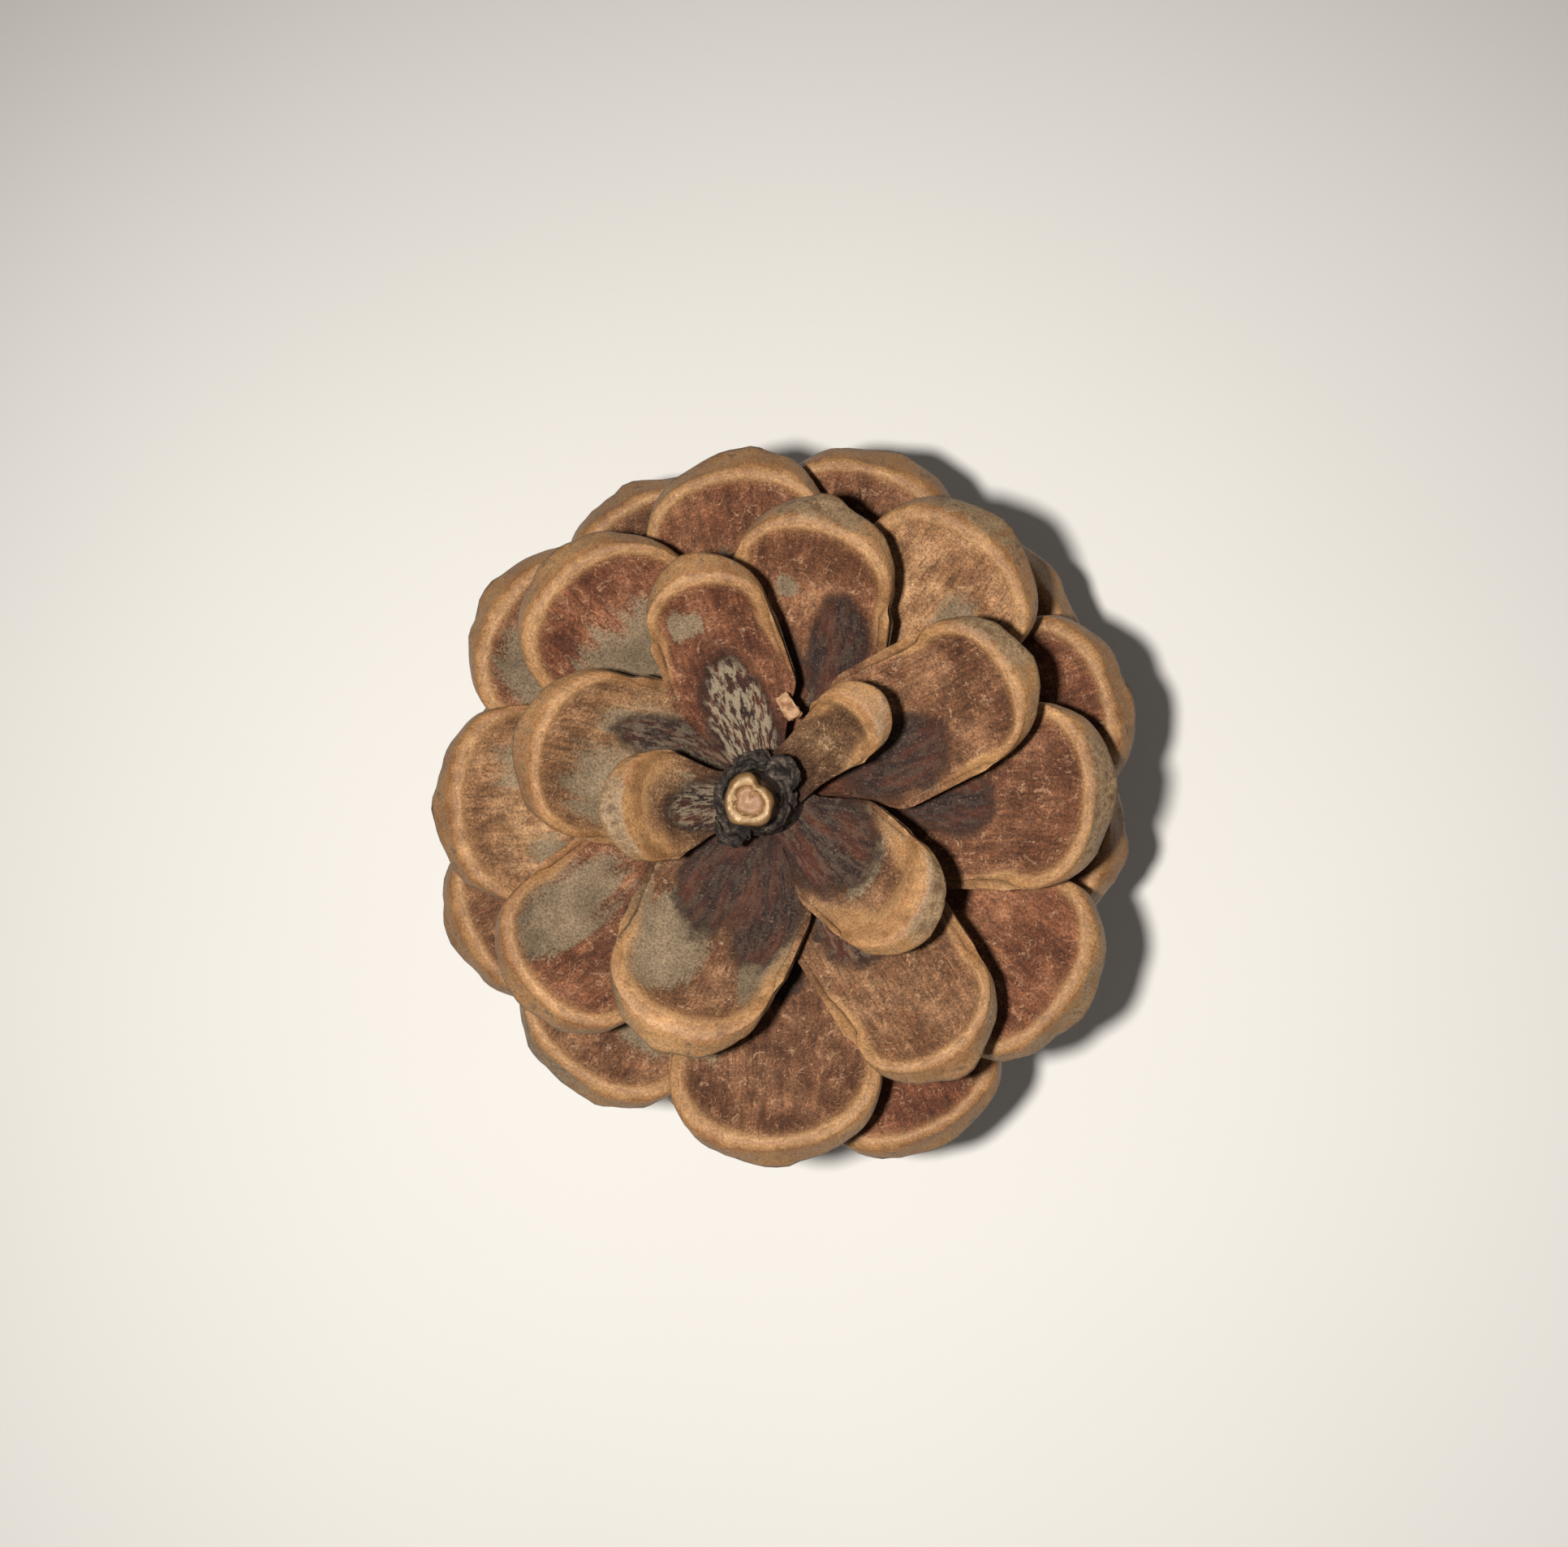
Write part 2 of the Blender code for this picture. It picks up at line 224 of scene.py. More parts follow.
# Low relief of the faces, in millimetres: as wavelength and height where it is a noise
SWELLS = (4.6, 0.11)
BUMPS = (1.5, 0.045)
PRINT_FADE = (0.44, 0.60)
PRINT_DEPTH = 0.12
PRINT_LIP = 0.04
PRINT_LIP_WIDTH = 0.06
FLAKES = (2.1, 0.10)
FLAKE_STEPS = 1.6
FLAKE_FADE = (0.12, 0.4)
BOSS_HEIGHT = 0.28
BOSS_WIDTH = 0.9
BOSS_DEPTH = 0.60
BOSS_STRETCH = (1.4, 4.0)
CRUST_FADE = 0.12
CRUMBS = ((0.7, 0.24), (0.35, 0.144))

# Shifts that set the noises of one scale apart, and those of one scale from the next
NOISE_SHIFT = (17.3, 5.1, 9.7)
LAY_SHIFT = 7.3
RAGGED_SHIFT = 3.3
WAVY_SHIFT = 1.9
SWELL_SHIFT = 0.4
BUMP_SHIFT = 7.7
FLAKE_SHIFT = 5.5
CRUMB_SHIFTS = (1.0, 2.0, 3.0)
FINE_CRUMB_SHIFT = 0.5

# Seed prints, as along, to the side, half length and half width in millimetres, each drawn out
# to the root by a factor
PRINT_STRETCH = 0.55
USUAL_PRINTS = ((8.6, -2.1, 3.0, 1.7), (8.6, 2.1, 3.0, 1.7))
PRINTS = {
    0: ((0.6, 0.0, 1.2, 1.6),),
    1: ((3.0, 0.3, 3.0, 1.6),),
    2: ((5.0, 0.2, 3.5, 2.9),),
    3: ((5.4, 0.2, 3.8, 2.0),),
    4: ((5.4, -1.0, 3.8, 2.3), (6.8, 2.9, 3.6, 1.9)),
    5: ((9.4, -1.8, 2.6, 2.2),),
    6: ((6.6, -1.9, 3.8, 1.4), (5.4, 1.8, 2.4, 1.2)),
    7: ((10.0, -0.4, 2.4, 2.6),),
    8: ((10.6, -2.2, 3.0, 1.9), (7.6, 1.8, 2.8, 1.8)),
    9: ((9.0, 1.6, 3.2, 2.4),),
    10: ((12.0, -0.6, 2.2, 2.0),),
    12: ((11.4, 0.0, 2.0, 1.6),),
}

# Grey weathered patches, as along, to the side, half length, half width and strength, and how
# strong the weakest are
WEAKEST_GREY = 0.55
GREYS = {
    1: ((4.6, 0.0, 1.2, 2.4, 0.8),),
    2: ((8.3, 0.2, 1.0, 3.4, 0.8),),
    3: ((2.6, 0.4, 3.0, 1.6, 0.7), (12.0, 1.6, 1.5, 1.3, 0.75)),
    4: ((11.0, -2.7, 4.2, 3.4, 1.0), (9.6, 4.0, 4.4, 1.6, 0.9)),
    5: ((6.6, 1.6, 3.4, 1.6, 0.5),),
    6: ((9.6, 1.8, 4.6, 3.4, 0.75), (7.2, -2.2, 5.4, 1.8, 0.8)),
    8: ((13.6, 1.7, 0.9, 1.0, 0.8), (6.4, -1.6, 2.6, 1.5, 0.5)),
    9: ((15.0, -2.6, 5.4, 2.8, 0.8), (9.0, 4.0, 3.0, 1.6, 0.5)),
    11: ((11.2, 0.4, 5.0, 5.8, 1.0),),
    12: ((16.6, -4.6, 2.2, 1.4, 0.5),),
    13: ((16.4, -1.4, 3.0, 2.4, 0.4),),
    14: ((16.6, -2.6, 3.2, 2.6, 0.5), (15.6, 3.2, 3.0, 2.2, 0.3)),
    16: ((14.0, 1.0, 2.6, 3.2, 0.8),),
    17: ((18.0, 2.0, 2.0, 4.4, 0.7),),
    19: ((17.6, 2.2, 4.4, 3.2, 0.95),),
    22: ((18.0, -1.0, 2.6, 2.6, 0.4),),
    26: ((18.0, 1.0, 2.4, 2.4, 0.4),),
}

# Grey crust outside the rim, from and to which share across, and its width in millimetres
CRUSTS = {0: (-0.7, -0.1, 0.2), 1: (-0.3, 0.5, 0.45), 2: (-0.1, 0.6, 0.45), 4: (-0.75, -0.3, 0.3),
          5: (-0.05, 0.5, 0.35), 7: (0.15, 0.6, 0.2), 8: (-0.2, 0.3, 0.4), 10: (-0.4, 0.3, 0.45),
          13: (-0.1, 0.4, 0.3), 15: (-0.3, 0.3, 0.2), 17: (-0.5, 0.1, 0.3)}

# Width of the tan rim against the usual one, and lightness of the heart against the usual one
BANDS = {0: 2.2, 1: 3.4, 2: 3.0, 3: 1.1, 4: 1.35, 5: 0.9, 6: 0.8, 9: 0.95, 12: 1.1}
LIGHTNESS = {0: 0.75, 1: 0.9, 2: 0.85, 6: 1.35, 7: 1.1, 8: 1.15, 10: 0.92, 12: 0.84, 13: 1.75,
             14: 1.6, 15: 1.2}

# Hue of the heart of a scale, from 0 olive to 1 red, how pale its rim is, and how grey its prints
HUES = {0: 0.2, 1: 0.2, 2: 0.4, 3: 0.75, 4: 0.35, 5: 0.5, 6: 0.15, 7: 0.35, 8: 0.55, 9: 0.7,
        10: 0.65, 11: 0.8, 12: 0.55, 13: 0.2, 14: 0.15, 15: 0.7, 16: 0.7, 17: 0.45, 18: 0.75,
        19: 0.6}
RIM_PALENESS = {0: 0.9, 1: 0.8, 2: 1.0, 3: 0.55, 4: 0.9, 5: 0.55, 6: 0.4, 7: 0.7, 8: 0.6, 9: 0.55,
                10: 0.7, 11: 0.5, 12: 0.8}
PRINT_GREYNESS = {1: 0.7, 2: 0.15, 3: 1.0, 6: 0.35, 7: 0.3}
USUAL_HUE = (0.4, 0.9)
USUAL_PALENESS = (0.2, 0.6)
USUAL_GREYNESS = 0.1
HUE_SEED = 5

# How often each pattern repeats in a millimetre. Fibres are 0.2 mm wide and 2.5 mm long,
# streaks 0.7 by 4 mm, flecks 0.3 by 1.1 mm, and grain 0.15 mm, which is coarser than real grain
# so that it shows.
FIBRES = (5.0, 0.4, 1.0)
STREAKS = (1.4, 0.24, 1.0)
FLECKS = (3.3, 0.9, 1.0)
GRAIN = 6.5
SPOTS = 1.1
BLOTCHES = 0.27
THREADS = 0.55
BARK_CRUMBS = 1.8
BROKEN_GRAIN = 2.2
RESIN_GRAIN = 3.4

# How often the lines along a rim repeat across it, and the clouds of the paper in a metre
RIM_LINES = 11.0
PAPER_CLOUDS = 9.0

# Where finishes change over, in millimetres: from the outline to the underside of a scale, down
# from the lip of the bud to its side, out from its middle to its side, and down to its foot
UNDERSIDE_FADE = (0.9, 2.0)
SIDE_FADE = (42.25, 41.75)
OUTSIDE_FADE = (1.35, 1.50)
FOOT_FADE = (41.3, 40.2)

# Height of the finest relief of each finish, in metres
WOOD_RELIEF = 0.00013
BARK_RELIEF = 0.00035
RESIN_RELIEF = 0.0001

# The paper and the even light of the room
PAPER_SIZE = 1.2
ROOM_COLOUR = "#F2F0EE"
ROOM_STRENGTH = 0.12

# The camera, and the lamp beside it with the place that it points to
CAMERA_PLACE = (11.43, 4.53, 200.0)
CAMERA_TILT = (3.65, 0.81)
SENSOR_WIDTH = 36.0
LENS = 58.98
LAMP_PLACE = (-10.8, 3.0, 205.0)
LAMP_AIM = (2.0, -46.0, 0.0)
LAMP_SIZE = 10.0
LAMP_SPREAD = 100.0
LAMP_ENERGY = 1.72
LAMP_COLOUR = (1.0, 0.975, 0.945)
NEAREST_SEEN = 0.001

# How far inside the box of the solid every point stays, in metres
INSIDE = 1e-6


def follow(points, number):
    """The size at a scale's number, along straight runs between the given points."""
    return float(np.interp(number, [point[0] for point in points], [point[1] for point in points]))


def smooth_step(low, high, value):
    share = np.clip((value - low) / (high - low), 0.0, 1.0)
    return share * share * (3.0 - 2.0 * share)


def signed_power(value, power):
    return np.copysign(np.abs(value) ** power, value)


def hump(value, middle, width):
    """A smooth hump of height 1 round a middle."""
    return np.exp(-((value - middle) / width) ** 2)


def axis_centre(height):
    """The middle of the axis at a height, which leans near the tip."""
    lean = smooth_step(LEAN_FROM_HEIGHT, LEAN_TO_HEIGHT, height)
    return AXIS_OFFSET[0] + LEAN[0] * lean, AXIS_OFFSET[1] + LEAN[1] * lean


def scale_sizes(number, draw):
    """The place and sizes of one scale: the rule, its own departure and a small draw."""
    turn, reach, wider = DEPARTURES.get(number, (0, 0.0, 0.0))
    drawn = [draw.uniform(-1.0, 1.0) for _ in range(3)]
    if number >= DRAWN_FROM:
        turn += TURN_DRAW * drawn[0]
        reach += REACH_DRAW * drawn[1]
    return {
        "number": number,
        "azimuth": math.radians(FIRST_AZIMUTH + GOLDEN_ANGLE * number + turn),
        "root": (ROOT_RADIUS, follow(ROOT_HEIGHT, number)),
        "tip": (follow(TIP_RADIUS, number) + reach, follow(TIP_HEIGHT, number)),
        "half_width": (follow(WIDTH, number) + wider) / 2.0,
        "tip_thickness": follow(TIP_THICKNESS, number),
        "body_thickness": BODY_THICKNESS,
        "cup": follow(CUP_DEPTH, number),
        "widens": (follow(WIDENS_FROM, number), follow(WIDENS_TO, number)),
        "roll": math.radians(ROLL_DRAW * drawn[2]),
        "overhang": KEEL_OVERHANG,
        "root_half_width": follow(ROOT_WIDTH, number) / 2.0,
    }


def stub_sizes(number):
    """The place and sizes of one of the stubs above the first scale."""
    height = STUB_ROOT_HEIGHT + STUB_STEP * number
    return {
        "number": SCALE_COUNT + number,
        "azimuth": math.radians(FIRST_AZIMUTH - GOLDEN_ANGLE * (number + 1)),
        "root": (STUB_ROOT_RADIUS, height),
        "tip": (STUB_LENGTHS[number], height + STUB_RISE),
        "half_width": STUB_WIDTH / 2.0,
        "tip_thickness": STUB_THICKNESS,
        "body_thickness": STUB_THICKNESS,
        "cup": STUB_CUP,
        "widens": (0.0, 1.0),
        "roll": 0.0,
        "overhang": STUB_OVERHANG,
        "root_half_width": STUB_ROOT_HALF_WIDTH,
    }


def plan_point(sizes, across, reach, length):
    """Where a point of the scale lies in its plan: along its length, and to the side."""
    turn = math.radians(CAP_TURN) * across
    half_width = sizes["half_width"]
    cap = CAP_DEPTH * half_width
    end_along = length - cap + cap * signed_power(np.cos(turn), CAP_POWER)
    end_side = half_width * signed_power(np.sin(turn), CAP_POWER)
    root_side = sizes["root_half_width"] * across
    side = root_side + (end_side - root_side) * smooth_step(*sizes["widens"], reach)
    return end_along * reach, side


def outline_distance(sizes, length, along, side):
    """How far each point of the plan lies from the outline of the scale, in millimetres."""
    flank = np.linspace(0.0, 1.0, FLANK_POINTS)
    rim = np.linspace(-1.0, 1.0, RIM_POINTS)
    left = plan_point(sizes, -1.0, flank, length)
    front = plan_point(sizes, rim, 1.0, length)
    right = plan_point(sizes, 1.0, flank[::-1], length)
    line = np.array([np.concatenate(parts) for parts in zip(left, front, right)]).T
    start = line[:-1]
    run = line[1:] - start
    square_runs = np.maximum((run ** 2).sum(1), 1e-9)
    points = np.stack([along, side], 1)
    nearest = np.full(len(points), np.inf)
    for first, step, square in zip(start, run, square_runs):
        share = np.clip(((points - first) @ step) / square, 0.0, 1.0)
        apart = points - first - share[:, None] * step
        nearest = np.minimum(nearest, (apart ** 2).sum(1))
    return np.sqrt(nearest)


def centre_line(sizes, share):
    """Points of the scale's middle line, as radius and height, with the direction there."""
    root = np.array(sizes["root"])
    tip = np.array(sizes["tip"])
    bend = np.array(((root[0] + tip[0]) / 2.0, root[1] + (tip[1] - root[1]) * LEVEL_START))
    inside = np.minimum(share, 1.0)[:, None]
    point = root * (1 - inside) ** 2 + bend * 2 * inside * (1 - inside) + tip * inside ** 2
    direction = (bend - root) * (1 - inside) + (tip - bend) * inside
    return point, direction / np.linalg.norm(direction, axis=1)[:, None]


def scale_thickness(sizes, across, reach):
    """The thickness of the scale, which swells to the rim and thins to its sides."""
    body = sizes["body_thickness"]
    swell = smooth_step(SWELL_FROM, SWELL_TO, reach) * (1.0 - np.abs(across) ** SWELL_POWER)
    thinned = body - (body - EDGE_THICKNESS) * across * across
    return thinned + (sizes["tip_thickness"] - body) * swell


def uneven(points, wavelength, shift):
    """Natural unevenness from -1 to 1 at the given points, with a wavelength in millimetres."""
    offset = Vector([shift * part for part in NOISE_SHIFT])
    return np.array([noise.noise(Vector(point) / wavelength + offset) for point in points])


def oval_field(ovals, along, side):
    """1 in the middle of the nearest oval, 0.5 on its edge, falling to 0. An oval is drawn out to
    the root of the scale."""
    field = np.zeros(len(along))
    for middle_along, middle_side, half_length, half_width in ovals:
        forward = along - middle_along
        forward = np.where(forward < 0.0, PRINT_STRETCH * forward, forward)
        apart = np.hypot(forward / half_length, (side - middle_side) / half_width)
        field = np.maximum(field, np.clip(1.0 - 0.5 * apart, 0.0, 1.0))
    return field


def grey_field(patches, along, side):
    """The same for grey patches, where a weaker patch stays lower."""
    field = np.zeros(len(along))
    for middle_along, middle_side, half_length, half_width, strength in patches:
        apart = np.hypot((along - middle_along) / half_length, (side - middle_side) / half_width)
        inside = np.clip(1.0 - 0.5 * apart, 0.0, 1.0)
        field = np.maximum(field, inside * (WEAKEST_GREY + (1.0 - WEAKEST_GREY) * strength))
    return field


def outline_pull(number, along, side, layer, rolled):
    """How far each point near the outline is pulled in, in millimetres."""
    layered = np.stack([along, side, layer * OUTLINE_CHANGE], 1)
    level = np.stack([along, side, np.zeros(len(layer))], 1)
    ragged = 0.5 + 0.5 * uneven(layered, RAGGED_WAVE, number + RAGGED_SHIFT)
    wavy = smooth_step(*WAVY_FADE, uneven(level, WAVY_WAVE, number + WAVY_SHIFT))
    depth = RAGGED_DEPTH if number < SCALE_COUNT else STUB_RAGGED_DEPTH
    return (ragged * depth + WAVY_DEPTH * wavy) * smooth_step(*PULL_FADE, rolled)


def top_relief(band, forward, prints):
    """The crest and the ring inside it along the rim, and the sunken prints of the seeds."""
    relief = CREST_HEIGHT * hump(band, CREST_AT, CREST_WIDTH) * forward ** 3
    relief = relief - RING_DEPTH * hump(band, RING_AT, RING_WIDTH) * forward ** 3
    relief = relief - PRINT_DEPTH * smooth_step(*PRINT_FADE, prints)
    return relief + PRINT_LIP * hump(prints, PRINT_FADE[0], PRINT_LIP_WIDTH)


def face_relief(number, seat, reach):
    """Swells that fade out at the root, and small bumps all over."""
    swells = SWELLS[1] * uneven(seat, SWELLS[0], number + SWELL_SHIFT)
    bumps = BUMPS[1] * uneven(seat, BUMPS[0], number + BUMP_SHIFT)
    return swells * smooth_step(*SWELL_FADE, reach), bumps


def crust_field(number, across, edge, upper):
    """How far a point of the upper face lies inside the grey crust outside the rim."""
    start, end, crust_width = CRUSTS.get(number, (0.0, 0.0, 0.0))
    crust = crust_width * smooth_step(start - CRUST_FADE, start + CRUST_FADE, across)
    crust = crust * (1.0 - smooth_step(end - CRUST_FADE, end + CRUST_FADE, across))
    return (crust - edge) * (upper > 0.0)


def size_share(sizes):
    """The share of full relief that a small scale has."""
    return min(sizes["half_width"] / FULL_HALF_WIDTH, 1.0)


def outer_face(sizes, across, depth, layer, rolled, seat):
    """How far the outer face stands out: a blunt keel with a low boss, flaked by weather."""
    number = sizes["number"]
    above = (depth / KEEL_DEPTH) ** KEEL_POWER
    below = 1.0 - (np.clip(depth - KEEL_DEPTH, 0.0, 1.0) / (1.0 - KEEL_DEPTH)) ** KEEL_POWER
    keel = np.where(depth < KEEL_DEPTH, above, below)
    steps = np.round(FLAKE_STEPS * uneven(seat, FLAKES[0], number + FLAKE_SHIFT))
    flakes = FLAKES[1] * steps * smooth_step(*FLAKE_FADE, layer)
    from_boss = np.hypot(across * sizes["half_width"] * BOSS_STRETCH[0],
                         (depth - BOSS_DEPTH) * BOSS_STRETCH[1])
    boss = BOSS_HEIGHT * hump(from_boss, 0.0, BOSS_WIDTH)
    overhang = sizes["overhang"] * (1.0 - KEEL_FADE * np.sqrt(across ** 2 + KEEL_ROUNDING))
    worn = (boss - BOSS_HEIGHT + flakes) * size_share(sizes) * rolled ** 2
    return keel * overhang * rolled ** 1.5 + worn * keel


def crumble(places):
    """Breaks up the surface of a stub in all directions."""
    (coarse, height), (fine, fine_height) = CRUMBS
    crumbs = [height * uneven(places, coarse, shift)
              + fine_height * uneven(places, fine, shift + FINE_CRUMB_SHIFT)
              for shift in CRUMB_SHIFTS]
    return places + np.stack(crumbs, 1)


def shape_scale(blank, sizes):
    """Lays the points of the slab on one scale, and returns them with the fields that its
    finish follows: the lay of the wood, the distances to the outline, and the marks."""
    number = sizes["number"]
    half_width = sizes["half_width"]
    shrink = size_share(sizes)
    run, width, up = blank.T
    reach = 1.0 - (1.0 - run) ** ROW_CROWDING
    across = width * (1.0 + COLUMN_CROWDING - COLUMN_CROWDING * width ** 2)
    layer = (1.0 - up) / 2.0
    length = math.hypot(sizes["tip"][0] - sizes["root"][0], sizes["tip"][1] - sizes["root"][1])
    along, side = plan_point(sizes, across, reach, length)
    edge = np.where(run > AT_RIM, 0.0, outline_distance(sizes, length, along, side))
    forward = smooth_step(*RELIEF_FADE, along / length)
    rimness = smooth_step(*TAN_FADE, along / length)

    # The rolled edge, narrow on the thin flanks and full at the rim
    front = 1.0 - np.abs(across) ** 4
    roll_width = (FLANK_ROLL_WIDTH + (ROLL_WIDTH - FLANK_ROLL_WIDTH) * front) * shrink
    rolled = np.clip(1.0 - edge / roll_width, 0.0, 1.0)
    turned = 1.0 - np.sqrt(1.0 - rolled ** 2)
    band = edge / (shrink * BANDS.get(number, 1.0) * (FLANK_BAND + (1.0 - FLANK_BAND) * forward))
    top_depth = turned * (ROLL_DEPTH - ROLL_EASE * front)
    under_depth = 1.0 - turned * ROLL_DEPTH * (1.0 - front)
    depth = top_depth + (under_depth - top_depth) * layer

    # The plan, with its underside cut back and its outline uneven
    pulled = reach * (1.0 - UNDERCUT * smooth_step(KEEL_DEPTH, 1.0, depth))
    along, side = plan_point(sizes, across, pulled, length)
    pull = outline_pull(number, along, side, layer, rolled) * shrink
    along = along - pull * np.cos(across * OUTLINE_TURN)
    side = side - pull * np.sin(across * OUTLINE_TURN)

    # The height over the middle line: cup, rim, relief, and the depth in the wood
    usual_prints = USUAL_PRINTS if number < SCALE_COUNT else ()
    prints = oval_field(PRINTS.get(number, usual_prints), along, side)
    greys = grey_field(GREYS.get(number, ()), along, side)
    rim = RIM_RISE * smooth_step(RIM_FROM, RIM_TO, pulled)
    cup = sizes["cup"] * (side / half_width) ** 2 * pulled
    upper = 1.0 - smooth_step(0.0, 0.5, layer)
    seat = np.stack([along, side, layer * FACE_CHANGE], 1)
    swells, bumps = face_relief(number, seat, reach)
    relief = top_relief(band, forward, prints) * upper + swells + bumps
    lift = cup + rim + relief * shrink - depth * scale_thickness(sizes, across, pulled)
    roll = sizes["roll"] * pulled
    rolled_lift = lift * np.cos(roll) + side * np.sin(roll)
    rolled_side = side * np.cos(roll) - lift * np.sin(roll)

    # The place of each point round the axis
    out = outer_face(sizes, across, depth, layer, rolled, seat)
    point, direction = centre_line(sizes, along / length)
    radius = point[:, 0] - direction[:, 1] * rolled_lift + direction[:, 0] * out
    height = point[:, 1] + direction[:, 0] * rolled_lift + direction[:, 1] * out
    centre_x, centre_y = axis_centre(height)
    cosine, sine = math.cos(sizes["azimuth"]), math.sin(sizes["azimuth"])
    places = np.stack([
        centre_x + radius * cosine - rolled_side * sine,
        centre_y + radius * sine + rolled_side * cosine,
        height,
    ], 1)
    if number >= SCALE_COUNT:
        places = crumble(places)

    even = np.ones(len(along))
    crust = crust_field(number, across, edge, upper)
    fields = {
        "lay": np.stack([(across * half_width + side) / 2.0, along, even * number * LAY_SHIFT], 1),
        "edge": np.stack([band, rimness, layer], 1),
        "crust": np.stack([crust, edge, even * LIGHTNESS.get(number, 1.0)], 1),
        "marks": np.stack([prints, greys, along / length], 1),
    }
    return places, fields


def read_points(mesh):
    points = np.zeros(len(mesh.vertices) * 3)
    mesh.vertices.foreach_get("co", points)
    return points.reshape(-1, 3)


def write_places(mesh, places):
    """Moves the points of a mesh to places in millimetres, kept inside the box of the solid."""
    low, high = np.array(cad_box[0]) + INSIDE, np.array(cad_box[1]) - INSIDE
    mesh.vertices.foreach_set("co", np.clip(places * MM, low, high).ravel())
    mesh.update()
    mesh.shade_smooth()


def give_field(mesh, name, values):
    field = mesh.attributes.new(name, "FLOAT_VECTOR", "POINT")
    field.data.foreach_set("vector", values.astype(np.float32).ravel())


def settle(piece, material):
    """Gives a finished piece its material, its body and the node that it replaces."""
    piece.data.materials.clear()
    piece.data.materials.append(material)
    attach(piece, "root")
    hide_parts(NODE)


def choose_edges(mesh, axis):
    """Selects the edges that run along one axis, of a mesh in edit mode."""
    bpy.ops.mesh.select_all(action="DESELECT")
    bpy.ops.object.mode_set(mode="OBJECT")
    for edge in mesh.edges:
        start, end = (mesh.vertices[corner].co for corner in edge.vertices)
        edge.select = abs((end - start).normalized()[axis]) > ALONG_AXIS
    bpy.ops.object.mode_set(mode="EDIT")


def cut_slab():
    """A slab cut into rows, columns and layers, from which every scale is shaped."""
    bpy.ops.mesh.primitive_cube_add(size=2.0)
    slab = bpy.context.object
    bpy.ops.object.mode_set(mode="EDIT")
    bpy.ops.mesh.select_mode(type="EDGE")
    for axis, parts in enumerate((SLAB_ROWS, SLAB_COLUMNS, SLAB_LAYERS)):
        choose_edges(slab.data, axis)
        bpy.ops.mesh.subdivide(number_cuts=parts - 1)
    bpy.ops.object.mode_set(mode="OBJECT")
    return slab


def add_scale(slab, name, sizes, material):
    """One scale or stub, shaped from a copy of the slab."""
    mesh = slab.data.copy()
    mesh.name = name
    piece = bpy.data.objects.new(name, mesh)
    bpy.context.scene.collection.objects.link(piece)
    blank = read_points(mesh)
    blank[:, 0] = (blank[:, 0] + 1.0) / 2.0
    places, fields = shape_scale(blank, sizes)
    write_places(mesh, places)
    for field, values in fields.items():
        give_field(mesh, field, values)
    settle(piece, material)
    return piece


def turned_body(name, profile, sides):
    """A round body drawn up ring by ring along a profile that follows the leaning axis."""
    first_height, first_radius = profile[0]
    centre_x, centre_y = axis_centre(first_height)
    bpy.ops.mesh.primitive_circle_add(
        vertices=sides, radius=first_radius * MM, fill_type="NGON",
        location=(centre_x * MM, centre_y * MM, first_height * MM))
    body = bpy.context.object
    body.name = name
    body.data.name = name
    bpy.ops.object.transform_apply()
    bpy.ops.object.mode_set(mode="EDIT")
    bpy.ops.mesh.select_all(action="SELECT")
    for (low, inner), (high, outer) in zip(profile, profile[1:]):
        below, above = axis_centre(low), axis_centre(high)
        step = ((above[0] - below[0]) * MM, (above[1] - below[1]) * MM, (high - low) * MM)
        bpy.ops.mesh.extrude_region_move(TRANSFORM_OT_translate={"value": step})
        bpy.ops.transform.resize(value=(outer / inner, outer / inner, 1.0),
                                 center_override=(above[0] * MM, above[1] * MM, high * MM))
    bpy.ops.mesh.select_all(action="SELECT")
    bpy.ops.mesh.normals_make_consistent(inside=False)
    bpy.ops.object.mode_set(mode="OBJECT")
    return body


def finer_profile(profile, step):
    """The same profile with more rings, so that its bark can be rough."""
    rings = []
    for (low, inner), (high, outer) in zip(profile, profile[1:]):
        parts = max(1, round(math.hypot(high - low, outer - inner) / step))
        for part in range(parts):
            share = part / parts
            rings.append((low + (high - low) * share, inner + (outer - inner) * share))
    return rings + [profile[-1]]


def add_axis(material):
    """The woody axis that the scales grow from, rough where they left it bare."""
    axis = turned_body("cone_axis", finer_profile(AXIS_PROFILE, AXIS_STEP), AXIS_SIDES)
    places = read_points(axis.data) / MM
    centre = np.stack([*axis_centre(places[:, 2]), places[:, 2]], 1)
    outward = places - centre
    rough = sum(height * uneven(places, wave, shift) for wave, height, shift in AXIS_ROUGHNESS)
    distance = np.maximum(np.linalg.norm(outward, axis=1), AXIS_CORE)[:, None]
    write_places(axis.data, places + outward / distance * (rough - AXIS_SHRINK)[:, None])
    settle(axis, material)


